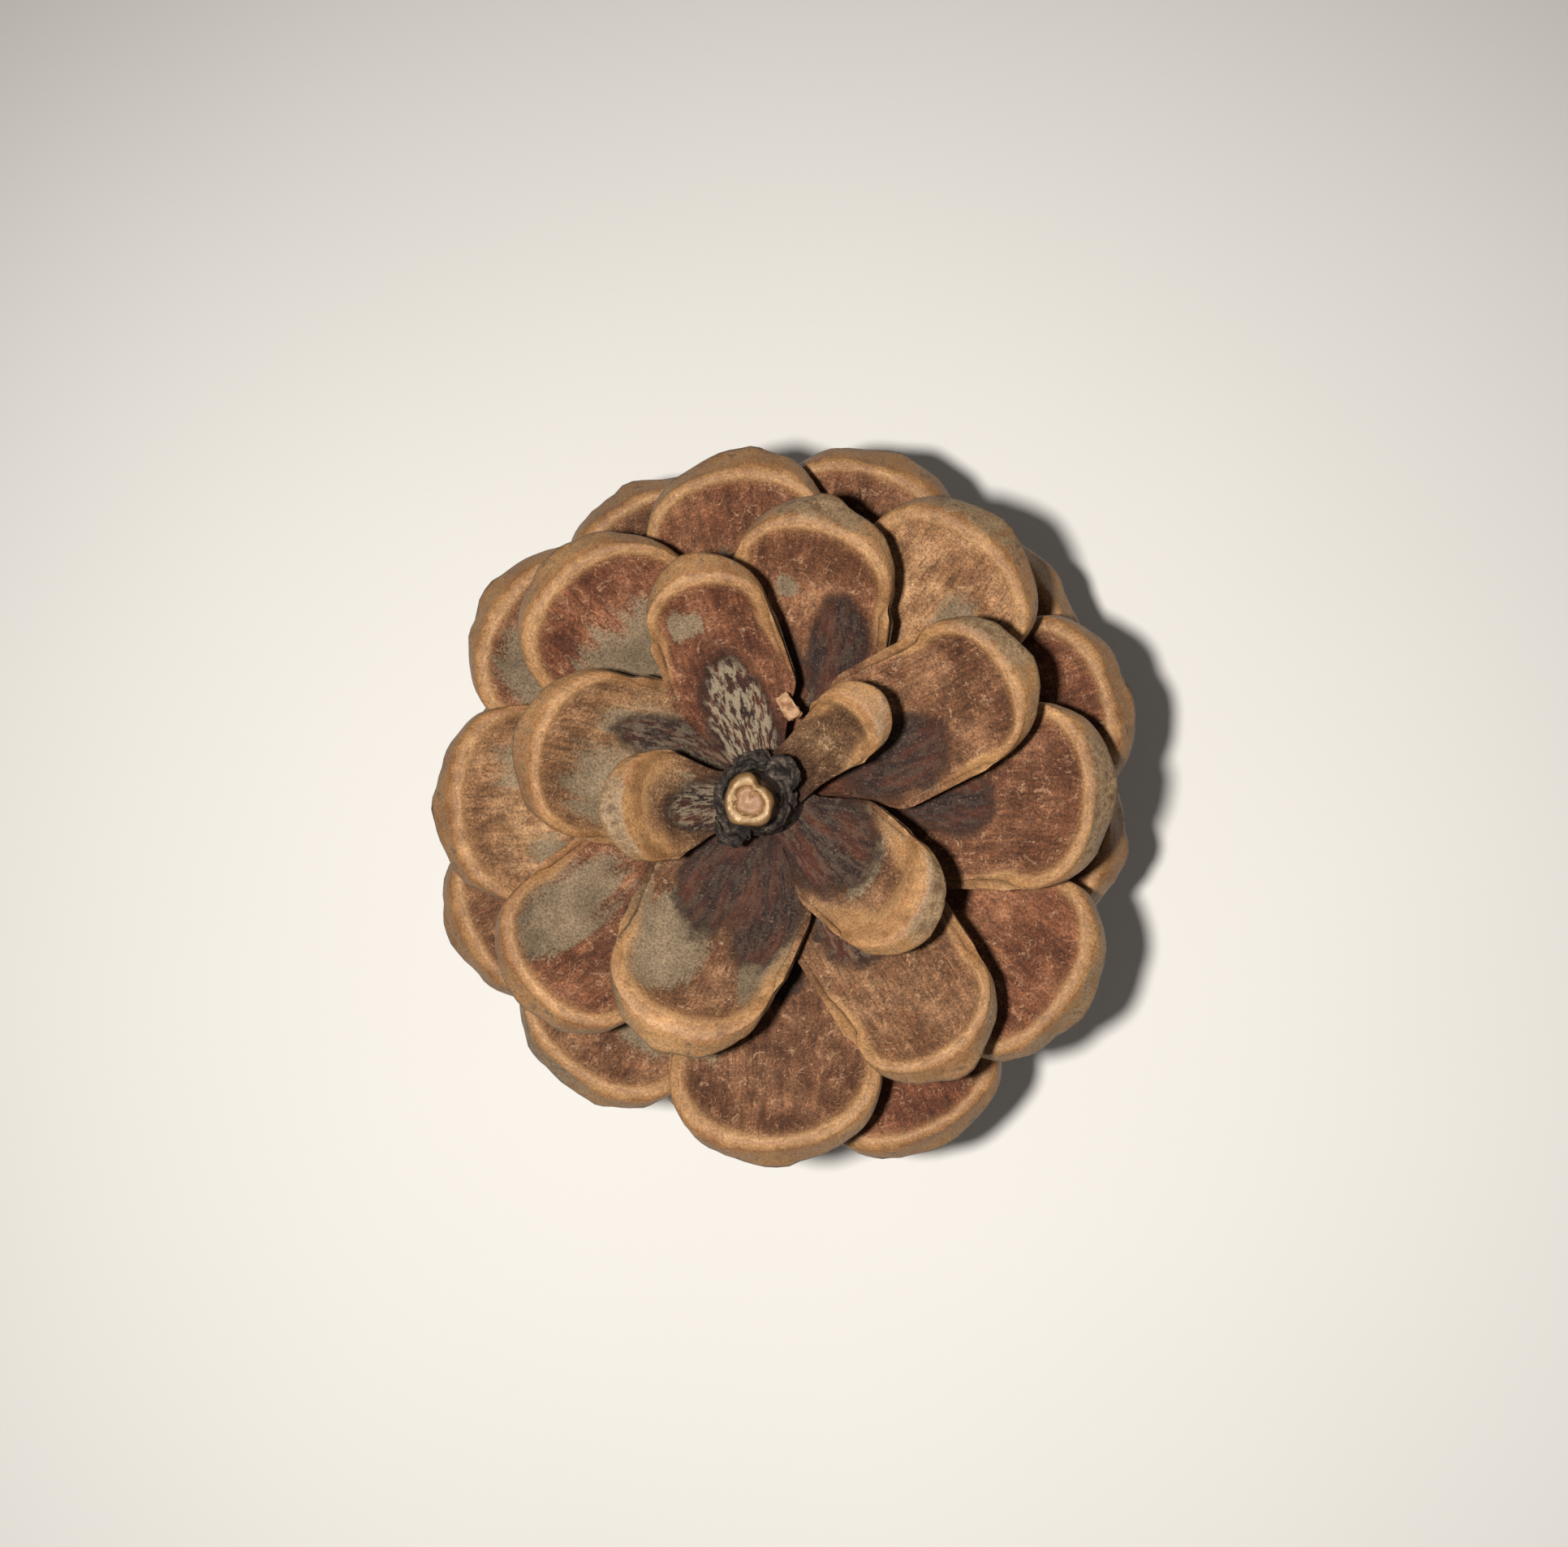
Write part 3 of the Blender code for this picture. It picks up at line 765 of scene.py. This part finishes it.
def add_bud(material):
    """The closed bud at the tip: a lopsided cup with a pale lip and a notch."""
    bud = turned_body("tip_bud", BUD_PROFILE, BUD_SIDES)
    places = read_points(bud.data) / MM
    centre_x, centre_y = axis_centre(places[:, 2])
    east = places[:, 0] - centre_x
    north = places[:, 1] - centre_y
    angle = np.arctan2(north, east)
    radius = np.hypot(east, north)
    notch = hump(np.angle(np.exp(1j * (angle - math.radians(NOTCH_TURN)))), 0.0, NOTCH_WIDTH)
    upper = smooth_step(BUD_NECK, BUD_TOP, places[:, 2])
    dents = NOTCH_DEPTH * notch
    for lobes, turn, depth in BUD_LOBES:
        dents = dents + depth * (1.0 - np.cos(lobes * (angle - math.radians(turn))))
    wave, height, shift = LIP_NOISE
    lopsided = BUD_SPREAD - upper * dents + height * uneven(places, wave, shift) * upper
    wave, height, shift = BARK_NOISE
    bark = height * uneven(places * np.array(BARK_STRETCH), wave, shift) * (1.0 - upper)
    places[:, 0] = centre_x + east * (lopsided + bark)
    places[:, 1] = centre_y + north * (lopsided + bark)
    wave, height, shift = DROP_NOISE
    drop = height * (0.5 + 0.5 * uneven(places, wave, shift)) + NOTCH_DROP * notch
    places[:, 2] = places[:, 2] - upper * drop
    write_places(bud.data, places)
    give_field(bud.data, "lip", np.stack([radius, places[:, 2], angle], 1))
    settle(bud, material)


def add_chip(material):
    """A splinter of broken wood, caught between two of the top scales."""
    centre = [part * MM for part in CHIP_PLACE]
    bpy.ops.mesh.primitive_cube_add(size=MM, location=centre)
    chip = bpy.context.object
    chip.name = "broken_chip"
    chip.data.name = "broken_chip"
    bpy.ops.object.transform_apply()
    bpy.ops.object.mode_set(mode="EDIT")
    bpy.ops.mesh.select_all(action="SELECT")
    bpy.ops.transform.resize(value=CHIP_SIZE, center_override=centre)
    bpy.ops.mesh.subdivide(number_cuts=CHIP_CUTS)
    bpy.ops.transform.vertex_random(offset=CHIP_ROUGHNESS * MM, seed=CHIP_SEED)
    bpy.ops.mesh.vertices_smooth(**CHIP_SMOOTHING)
    bpy.ops.transform.rotate(value=math.radians(CHIP_TURN), orient_axis="Z", center_override=centre)
    bpy.ops.object.mode_set(mode="OBJECT")
    chip.data.shade_smooth()
    settle(chip, material)


def linear(colour):
    """A colour in sRGB hex as linear values."""
    parts = [int(colour[start:start + 2], 16) / 255.0 for start in (1, 3, 5)]
    return (*[part / 12.92 if part <= 0.04045 else ((part + 0.055) / 1.055) ** 2.4
              for part in parts], 1.0)


COORDINATES = "ShaderNodeTexCoord"
MAPPING = "ShaderNodeMapping"
ATTRIBUTE = "ShaderNodeAttribute"
SEPARATE = "ShaderNodeSeparateXYZ"
NOISE = "ShaderNodeTexNoise"
RAMP = "ShaderNodeValToRGB"
RANGE = "ShaderNodeMapRange"
MATH = "ShaderNodeMath"
VECTOR_MATH = "ShaderNodeVectorMath"
MIX = "ShaderNodeMix"
BUMP = "ShaderNodeBump"

PLUS = {"operation": "ADD"}
TIMES = {"operation": "MULTIPLY"}
TIMES_PLUS = {"operation": "MULTIPLY_ADD"}
BLEND = {"data_type": "RGBA"}
DARKEN = {"data_type": "RGBA", "blend_type": "MULTIPLY"}
ROUGHEN = {"data_type": "RGBA", "blend_type": "OVERLAY"}
SMOOTHLY = {"interpolation_type": "SMOOTHSTEP"}
IN_MILLIMETRES = (1000.0, 1000.0, 1000.0)
COLOUR_OUTPUT = 2


def add(tree, kind, settings=(), **links):
    """Adds a node and returns its main output. Settings are its own properties, a ramp its
    stops, and links its sockets by name or, after an s, by number: a value, a hex colour, or
    another node's output."""
    node = tree.nodes.new(kind)
    for name, value in dict(settings).items():
        if name == "ramp":
            while len(node.color_ramp.elements) < len(value):
                node.color_ramp.elements.new(1.0)
            for element, (position, colour) in zip(node.color_ramp.elements, value):
                element.position = position
                grey = not isinstance(colour, str)
                element.color = (colour, colour, colour, 1.0) if grey else linear(colour)
        else:
            setattr(node, name, value)
    for name, value in links.items():
        socket = node.inputs[int(name[1:]) if name[1:].isdigit() else name.replace("_", " ")]
        if isinstance(value, bpy.types.NodeSocket):
            tree.links.new(value, socket)
        else:
            socket.default_value = linear(value) if isinstance(value, str) else value
    return node.outputs[COLOUR_OUTPUT if kind == MIX else 0]


def new_material(name):
    material = bpy.data.materials.new(name)
    material.use_nodes = True
    return material, material.node_tree, material.node_tree.nodes["Principled BSDF"]


def weathered_scale_wood():
    """Wood of a cone's scales, dry and weathered out of doors. The eye gets a matt reddish brown
    heart with fine fibres and pale flecks, painted shade at its root and in a ring inside the rim,
    a tan rolled rim with a painted highlight along its thin crest and a dull sheen, grey weathered
    patches with uneven borders, nearly black seed prints, and a dark underside with painted shade."""
    material, tree, shader = new_material("weathered_scale_wood")
    place = add(tree, MAPPING, s0=add(tree, COORDINATES).node.outputs["Object"],
                Scale=IN_MILLIMETRES)
    lay = add(tree, ATTRIBUTE, {"attribute_name": "lay"}).node.outputs["Vector"]
    fields = []
    for name in ("edge", "marks", "looks", "crust"):
        vector = add(tree, ATTRIBUTE, {"attribute_name": name}).node.outputs["Vector"]
        fields.append(add(tree, SEPARATE, s0=vector).node.outputs)
    (band, rimness, layer), (prints, greys, share), (hue, paleness, greyness), outside = fields
    crust, distance, lightness = outside

    along_wood = ((FIBRES, 3.0, 0.5), (STREAKS, 5.0, 0.6), (FLECKS, 3.0, 0.7))
    fibres, streaks, flecks = [
        add(tree, NOISE, s0=add(tree, MAPPING, s0=lay, Scale=often), Scale=1.0, Detail=detail,
            Roughness=roughness)
        for often, detail, roughness in along_wood]
    grain, spots, blotches = [
        add(tree, NOISE, s0=place, Scale=often, Detail=detail, Roughness=0.6)
        for often, detail in ((GRAIN, 4.0), (SPOTS, 5.0), (BLOTCHES, 6.0))]
    threads = add(tree, NOISE, s0=place, Scale=THREADS, Detail=2.0, Distortion=1.2)
    grainy = add(tree, RANGE, s0=grain, s1=0.30, s2=0.70)
    fibrous = add(tree, RANGE, s0=fibres, s1=0.28, s2=0.72)
    spotted = add(tree, RANGE, s0=spots, s1=0.28, s2=0.72)
    forward = add(tree, RANGE, SMOOTHLY, s0=share, s1=0.50, s2=0.86)

    # The heart of the scale, with hairline cracks, pale flecks and scratches, painted shade towards
    # the root, and a ring of painted shade inside the rim
    red = add(tree, RAMP, {"ramp": [(0.36, "#5A2E1C"), (0.50, "#724029"), (0.62, "#8B553A")]},
              s0=blotches)
    olive = add(tree, RAMP, {"ramp": [(0.36, "#5C4229"), (0.50, "#745739"), (0.62, "#8C6F4E")]},
                s0=blotches)
    heart = add(tree, MIX, BLEND, s0=hue, s6=olive, s7=red)
    heart = add(tree, VECTOR_MATH, {"operation": "SCALE"}, s0=heart, Scale=lightness)
    heart = add(tree, MIX, ROUGHEN, s0=0.36, s6=heart, s7=spotted)
    heart = add(tree, MIX, ROUGHEN, s0=0.30, s6=heart, s7=fibrous)
    heart = add(tree, MIX, ROUGHEN, s0=0.58, s6=heart, s7=grainy)
    pale_crack = add(tree, RAMP, {"ramp": [(0.484, 0.0), (0.50, 0.55), (0.516, 0.0)]}, s0=streaks)
    pale_crack = add(tree, MATH, TIMES, s0=pale_crack,
                     s1=add(tree, RANGE, s0=spots, s1=0.52, s2=0.60))
    heart = add(tree, MIX, BLEND, s0=pale_crack, s6=heart, s7="#B89069")
    dark_crack = add(tree, RAMP, {"ramp": [(0.40, 0.0), (0.42, 0.5), (0.45, 0.0)]}, s0=streaks)
    heart = add(tree, MIX, DARKEN, s0=dark_crack, s6=heart, s7="#8A6450")
    pale_fleck = add(tree, RAMP, {"ramp": [(0.64, 0.0), (0.76, 0.45)]}, s0=flecks)
    heart = add(tree, MIX, BLEND, s0=pale_fleck, s6=heart, s7="#BF9970")
    speck = add(tree, RAMP, {"ramp": [(0.69, 0.0), (0.75, 0.70)]}, s0=grain)
    heart = add(tree, MIX, BLEND, s0=speck, s6=heart, s7="#CFA981")
    scratch = add(tree, RAMP, {"ramp": [(0.478, 0.0), (0.50, 0.72), (0.522, 0.0)]}, s0=threads)
    scratch = add(tree, MATH, TIMES, s0=scratch, s1=add(tree, RANGE, s0=spots, s1=0.44, s2=0.54))
    scratch = add(tree, MATH, TIMES, s0=scratch, s1=add(tree, RANGE, s0=grain, s1=0.40, s2=0.56))
    heart = add(tree, MIX, BLEND, s0=scratch, s6=heart, s7="#C39F7D")
    # Painted shade: darker towards the root of the scale, where the scales above cover it
    root_shade = add(tree, RANGE, s0=share, s1=0.15, s2=0.50, s3=0.85, s4=0.0)
    heart = add(tree, MIX, DARKEN, s0=root_shade, s6=heart, s7="#8E6B5E")
    # Painted shade: a darker ring just inside the raised rim
    ring = add(tree, RAMP, {"ramp": [(0.10, 0.0), (0.20, 0.22), (0.30, 0.20), (0.55, 0.0)]},
               s0=add(tree, MATH, TIMES, s0=band, s1=0.1))
    ring = add(tree, MATH, TIMES, s0=ring, s1=forward)
    heart = add(tree, MIX, DARKEN, s0=ring, s6=heart, s7="#B08474")

    # Grey patches with uneven borders
    wander = add(tree, MATH, TIMES_PLUS, s0=streaks, s1=0.62, s2=greys)
    wander = add(tree, MATH, TIMES_PLUS, s0=grain, s1=0.30, s2=wander)
    grey_area = add(tree, RANGE, s0=wander, s1=0.96, s2=1.07, s4=0.88)
    grey_wood = add(tree, RAMP, {"ramp": [(0.38, "#6C5D47"), (0.64, "#8A785F")]}, s0=blotches)
    grey_wood = add(tree, MIX, ROUGHEN, s0=0.5, s6=grey_wood, s7=grainy)
    heart = add(tree, MIX, BLEND, s0=grey_area, s6=heart, s7=grey_wood)

    # Prints left by the seeds, dark with red streaks, and with pale ribs where the wood is grey
    reach = add(tree, MATH, TIMES_PLUS, s0=spots, s1=0.36, s2=prints)
    reach = add(tree, MATH, TIMES_PLUS, s0=streaks, s1=0.16, s2=reach)
    reach = add(tree, MATH, PLUS, s0=reach, s1=-0.07)
    shade = add(tree, RANGE, s0=reach, s1=0.54, s2=0.72, s4=0.75)
    heart = add(tree, MIX, DARKEN, s0=shade, s6=heart, s7="#7F6A5C")
    print_area = add(tree, RANGE, s0=reach, s1=0.66, s2=0.76, s4=0.96)
    print_wood = add(tree, RAMP, {"ramp": [(0.34, "#1A1210"), (0.50, "#2C1E19"), (0.62, "#412B22"),
                                           (0.72, "#8C7055")]}, s0=grain)
    red_streak = add(tree, RAMP, {"ramp": [(0.44, 0.0), (0.64, 0.6)]}, s0=streaks)
    print_wood = add(tree, MIX, BLEND, s0=red_streak, s6=print_wood, s7="#61301D")
    print_wood = add(tree, MIX, ROUGHEN, s0=0.15, s6=print_wood, s7=fibrous)
    rib = add(tree, RAMP, {"ramp": [(0.46, 0.0), (0.56, 0.85)]}, s0=flecks)
    rib = add(tree, MATH, TIMES, s0=rib, s1=greyness)
    print_wood = add(tree, MIX, BLEND, s0=rib, s6=print_wood, s7="#9C8C72")
    heart = add(tree, MIX, BLEND, s0=print_area, s6=heart, s7=print_wood)

    outline = add(tree, RAMP, {"ramp": [(0.58, 0.0), (0.66, 0.55), (0.70, 0.55), (0.80, 0.0)]},
                  s0=reach)
    broken = add(tree, RANGE, s0=spots, s1=0.36, s2=0.60, s3=0.15)
    outline = add(tree, MATH, TIMES, s0=outline, s1=broken)
    heart = add(tree, MIX, BLEND, s0=outline, s6=heart, s7="#2C211C")

    # The tan rolled rim, a painted highlight along its crest, fine lines along it, pale specks that
    # also serve as painted glints, and pits
    wavy = add(tree, MATH, TIMES_PLUS, s0=spots, s1=1.0, s2=band)
    wavy = add(tree, MATH, PLUS, s0=wavy, s1=-0.5)
    rim_area = add(tree, RANGE, SMOOTHLY, s0=wavy, s1=1.68, s2=0.75)
    rim_area = add(tree, MATH, TIMES, s0=rim_area, s1=rimness)
    dull_rim = add(tree, RAMP, {"ramp": [(0.36, "#855B37"), (0.64, "#A2774A")]}, s0=blotches)
    pale_rim = add(tree, RAMP, {"ramp": [(0.36, "#996F48"), (0.64, "#B4895B")]}, s0=blotches)
    rim_wood = add(tree, MIX, BLEND, s0=paleness, s6=dull_rim, s7=pale_rim)
    # Painted highlight: a pale line along the crest of the rim
    crest = add(tree, RAMP, {"ramp": [(0.24, 0.0), (0.44, 0.32), (0.66, 0.0)]},
                s0=add(tree, MATH, TIMES, s0=wavy, s1=0.5))
    crest = add(tree, MATH, TIMES, s0=crest, s1=forward)
    rim_wood = add(tree, MIX, BLEND, s0=crest, s6=rim_wood, s7="#C9A071")
    lines = add(tree, MATH, {"operation": "SINE"}, s0=add(tree, MATH, TIMES, s0=wavy, s1=RIM_LINES))
    lines = add(tree, RANGE, s0=lines, s1=0.1, s2=1.0, s4=0.35)
    lines = add(tree, MATH, TIMES, s0=lines, s1=forward)
    rim_wood = add(tree, MIX, DARKEN, s0=lines, s6=rim_wood, s7="#C9A184")
    rim_wood = add(tree, MIX, ROUGHEN, s0=0.24, s6=rim_wood, s7=spotted)
    rim_wood = add(tree, MIX, ROUGHEN, s0=0.34, s6=rim_wood, s7=grainy)
    # Pale specks, which on the rim also stand in as painted glints
    rim_wood = add(tree, MIX, BLEND, s0=speck, s6=rim_wood, s7="#DDBE98")
    pit = add(tree, RAMP, {"ramp": [(0.28, 0.55), (0.35, 0.0)]}, s0=grain)
    rim_wood = add(tree, MIX, BLEND, s0=pit, s6=rim_wood, s7="#6B4A30")
    top = add(tree, MIX, BLEND, s0=rim_area, s6=heart, s7=rim_wood)

    # The crust and the outer face are grey and flaked, and the underside dark brown with painted
    # shade on it
    outer_wood = add(tree, RAMP, {"ramp": [(0.34, "#4E3E2F"), (0.44, "#78624A"), (0.56, "#957C5D"),
                                           (0.68, "#6A563E")]}, s0=spots)
    outer_wood = add(tree, MIX, ROUGHEN, s0=0.4, s6=outer_wood, s7=grainy)
    crusted = add(tree, MATH, TIMES_PLUS, s0=spots, s1=1.4, s2=crust)
    crusted = add(tree, RANGE, s0=crusted, s1=0.62, s2=1.0, s4=0.9)
    outer = add(tree, MATH, TIMES_PLUS, s0=spots, s1=0.5, s2=layer)
    outer = add(tree, RANGE, s0=outer, s1=0.68, s2=0.84)
    crusted = add(tree, MATH, {"operation": "MAXIMUM"}, s0=crusted, s1=outer)
    top = add(tree, MIX, BLEND, s0=crusted, s6=top, s7=outer_wood)
    under_area = add(tree, RANGE, s0=distance, s1=UNDERSIDE_FADE[0], s2=UNDERSIDE_FADE[1])
    below = add(tree, RANGE, s0=layer, s1=0.55, s2=0.75)
    under_area = add(tree, MATH, TIMES, s0=under_area, s1=below)
    # Dark brown underside, made darker still as painted shade for the gaps between scales
    under_wood = add(tree, RAMP, {"ramp": [(0.36, "#3A2219"), (0.60, "#5B3B2A")]}, s0=streaks)
    top = add(tree, MIX, BLEND, s0=under_area, s6=top, s7=under_wood)

    # A rim worn smoother and glossier than the rest
    roughness = add(tree, RANGE, s0=rim_area, s3=0.78, s4=0.50)
    height = add(tree, MATH, TIMES_PLUS, s0=grain, s1=0.6, s2=fibres)
    height = add(tree, MATH, TIMES_PLUS, s0=flecks, s1=0.4, s2=height)
    height = add(tree, MATH, TIMES_PLUS, s0=spots, s1=0.8, s2=height)
    strength = add(tree, RANGE, s0=rim_area, s3=0.95, s4=0.65)
    bump = add(tree, BUMP, Strength=strength, Distance=WOOD_RELIEF, Height=height)
    tree.links.new(top, shader.inputs["Base Color"])
    tree.links.new(roughness, shader.inputs["Roughness"])
    tree.links.new(bump, shader.inputs["Normal"])
    shader.inputs["Specular IOR Level"].default_value = 0.35
    return material


def crumbled_bark():
    """Bark of the axis and of scales that never opened. It is dry and crumbling, so the eye gets
    a nearly black matt brown with ash-grey grains."""
    material, tree, shader = new_material("crumbled_bark")
    place = add(tree, MAPPING, s0=add(tree, COORDINATES).node.outputs["Object"],
                Scale=IN_MILLIMETRES)
    crumbs = add(tree, NOISE, s0=place, Scale=BARK_CRUMBS, Detail=5.0, Roughness=0.7)
    colour = add(tree, RAMP, {"ramp": [(0.36, "#1A1411"), (0.48, "#2F2723"), (0.58, "#4E443B"),
                                       (0.70, "#7A6D5C")]}, s0=crumbs)
    bump = add(tree, BUMP, Strength=1.0, Distance=BARK_RELIEF, Height=crumbs)
    tree.links.new(colour, shader.inputs["Base Color"])
    tree.links.new(bump, shader.inputs["Normal"])
    shader.inputs["Roughness"].default_value = 0.85
    shader.inputs["Specular IOR Level"].default_value = 0.3
    return material


def broken_wood():
    """Freshly broken wood, paler than the weathered surface round it, and matt."""
    material, tree, shader = new_material("broken_wood")
    place = add(tree, MAPPING, s0=add(tree, COORDINATES).node.outputs["Object"],
                Scale=IN_MILLIMETRES)
    grain = add(tree, NOISE, s0=place, Scale=BROKEN_GRAIN, Detail=5.0)
    colour = add(tree, RAMP, {"ramp": [(0.36, "#7F5839"), (0.50, "#A37A57"), (0.64, "#B99370")]},
                 s0=grain)
    tree.links.new(colour, shader.inputs["Base Color"])
    shader.inputs["Roughness"].default_value = 0.8
    return material


def dried_resin_bud():
    """The bud at the tip, coated in dried resin. Its lip is worn to cream, its bowl is tan and
    its side brown, with a faint gloss."""
    material, tree, shader = new_material("dried_resin_bud")
    place = add(tree, MAPPING, s0=add(tree, COORDINATES).node.outputs["Object"],
                Scale=IN_MILLIMETRES)
    lip = add(tree, SEPARATE,
              s0=add(tree, ATTRIBUTE, {"attribute_name": "lip"}).node.outputs["Vector"])
    radius, height, _ = lip.node.outputs
    grain = add(tree, NOISE, s0=place, Scale=RESIN_GRAIN, Detail=4.0, Roughness=0.65)
    wavy = add(tree, MATH, TIMES_PLUS, s0=grain, s1=0.95, s2=radius)
    wavy = add(tree, MATH, TIMES_PLUS, s0=wavy, s1=0.45, s2=-0.08)
    top = add(tree, RAMP, {"ramp": [(0.16, "#A07E5A"), (0.34, "#896547"), (0.53, "#8E6A47"),
                                    (0.60, "#6E4F33"), (0.64, "#BC9C72"), (0.72, "#C6A67C"),
                                    (0.77, "#92734E"), (0.86, "#7E5E38")]}, s0=wavy)
    side = add(tree, RAMP, {"ramp": [(0.35, "#5C4128"), (0.60, "#8E6C42")]}, s0=grain)
    low = add(tree, RANGE, s0=height, s1=SIDE_FADE[0], s2=SIDE_FADE[1])
    outside = add(tree, RANGE, s0=radius, s1=OUTSIDE_FADE[0], s2=OUTSIDE_FADE[1])
    low = add(tree, MATH, TIMES, s0=low, s1=outside)
    colour = add(tree, MIX, BLEND, s0=low, s6=top, s7=side)
    foot = add(tree, RANGE, s0=height, s1=FOOT_FADE[0], s2=FOOT_FADE[1])
    colour = add(tree, MIX, BLEND, s0=foot, s6=colour, s7="#3A2C20")
    bump = add(tree, BUMP, Strength=0.6, Distance=RESIN_RELIEF, Height=grain)
    tree.links.new(colour, shader.inputs["Base Color"])
    tree.links.new(bump, shader.inputs["Normal"])
    shader.inputs["Roughness"].default_value = 0.5
    return material


def pale_paper():
    """Smooth uncoated paper: an even warm white without gloss."""
    material, tree, shader = new_material("pale_paper")
    place = add(tree, COORDINATES).node.outputs["Object"]
    cloudy = add(tree, NOISE, s0=place, Scale=PAPER_CLOUDS, Detail=3.0)
    colour = add(tree, RAMP, {"ramp": [(0.30, "#ECE9E3"), (0.70, "#F1EEE8")]}, s0=cloudy)
    tree.links.new(colour, shader.inputs["Base Color"])
    shader.inputs["Roughness"].default_value = 0.9
    shader.inputs["Specular IOR Level"].default_value = 0.2
    return material


def build_cone():
    wood = weathered_scale_wood()
    bark = crumbled_bark()
    slab = cut_slab()
    draw = random.Random(DRAW_SEED)
    hues = random.Random(HUE_SEED)
    for number in range(SCALE_COUNT):
        scale = add_scale(slab, f"scale_{number:02d}", scale_sizes(number, draw), wood)
        usual_hue, usual_paleness = hues.uniform(*USUAL_HUE), hues.uniform(*USUAL_PALENESS)
        look = (HUES.get(number, usual_hue), RIM_PALENESS.get(number, usual_paleness),
                PRINT_GREYNESS.get(number, USUAL_GREYNESS))
        give_field(scale.data, "looks", np.tile(look, (len(scale.data.vertices), 1)))
    for number in range(len(STUB_LENGTHS)):
        add_scale(slab, f"stub_{number}", stub_sizes(number), bark)
    bpy.data.objects.remove(slab)
    add_axis(bark)
    add_bud(dried_resin_bud())
    add_chip(broken_wood())


def build_studio():
    """The paper that the cone stands on, the soft light round it, and the camera above it."""
    bpy.ops.mesh.primitive_plane_add(size=PAPER_SIZE)
    floor = bpy.context.object
    floor.name = "paper_floor"
    floor.data.materials.append(pale_paper())

    world = bpy.data.worlds.new("soft_room")
    bpy.context.scene.world = world
    world.use_nodes = True
    background = world.node_tree.nodes["Background"]
    background.inputs["Color"].default_value = linear(ROOM_COLOUR)
    background.inputs["Strength"].default_value = ROOM_STRENGTH

    lamp = bpy.data.lights.new("lamp_beside_camera", "SPOT")
    lamp.spot_size = math.radians(LAMP_SPREAD)
    lamp.spot_blend = 1.0
    lamp.shadow_soft_size = LAMP_SIZE / 2.0 * MM
    lamp.energy = LAMP_ENERGY
    lamp.color = LAMP_COLOUR
    lamp_object = bpy.data.objects.new("lamp_beside_camera", lamp)
    lamp_object.location = [part * MM for part in LAMP_PLACE]
    aim = Vector(LAMP_AIM) - Vector(LAMP_PLACE)
    lamp_object.rotation_euler = aim.to_track_quat("-Z", "Y").to_euler()
    bpy.context.scene.collection.objects.link(lamp_object)

    data = bpy.data.cameras.new("camera")
    data.sensor_width = SENSOR_WIDTH
    data.sensor_fit = "HORIZONTAL"
    data.lens = LENS
    data.clip_start = NEAREST_SEEN
    camera = bpy.data.objects.new("camera", data)
    bpy.context.scene.collection.objects.link(camera)
    left, down = (math.tan(math.radians(angle)) for angle in CAMERA_TILT)
    forward = Vector((-left, -down, -1.0)).normalized()
    right = forward.cross(Vector((0.0, 1.0, 0.0))).normalized()
    upward = right.cross(forward)
    turn = Matrix((right, upward, -forward)).transposed().to_4x4()
    camera.matrix_world = Matrix.Translation([part * MM for part in CAMERA_PLACE]) @ turn
    bpy.context.scene.camera = camera
    bpy.context.scene.view_settings.view_transform = "Standard"


build_cone()
build_studio()
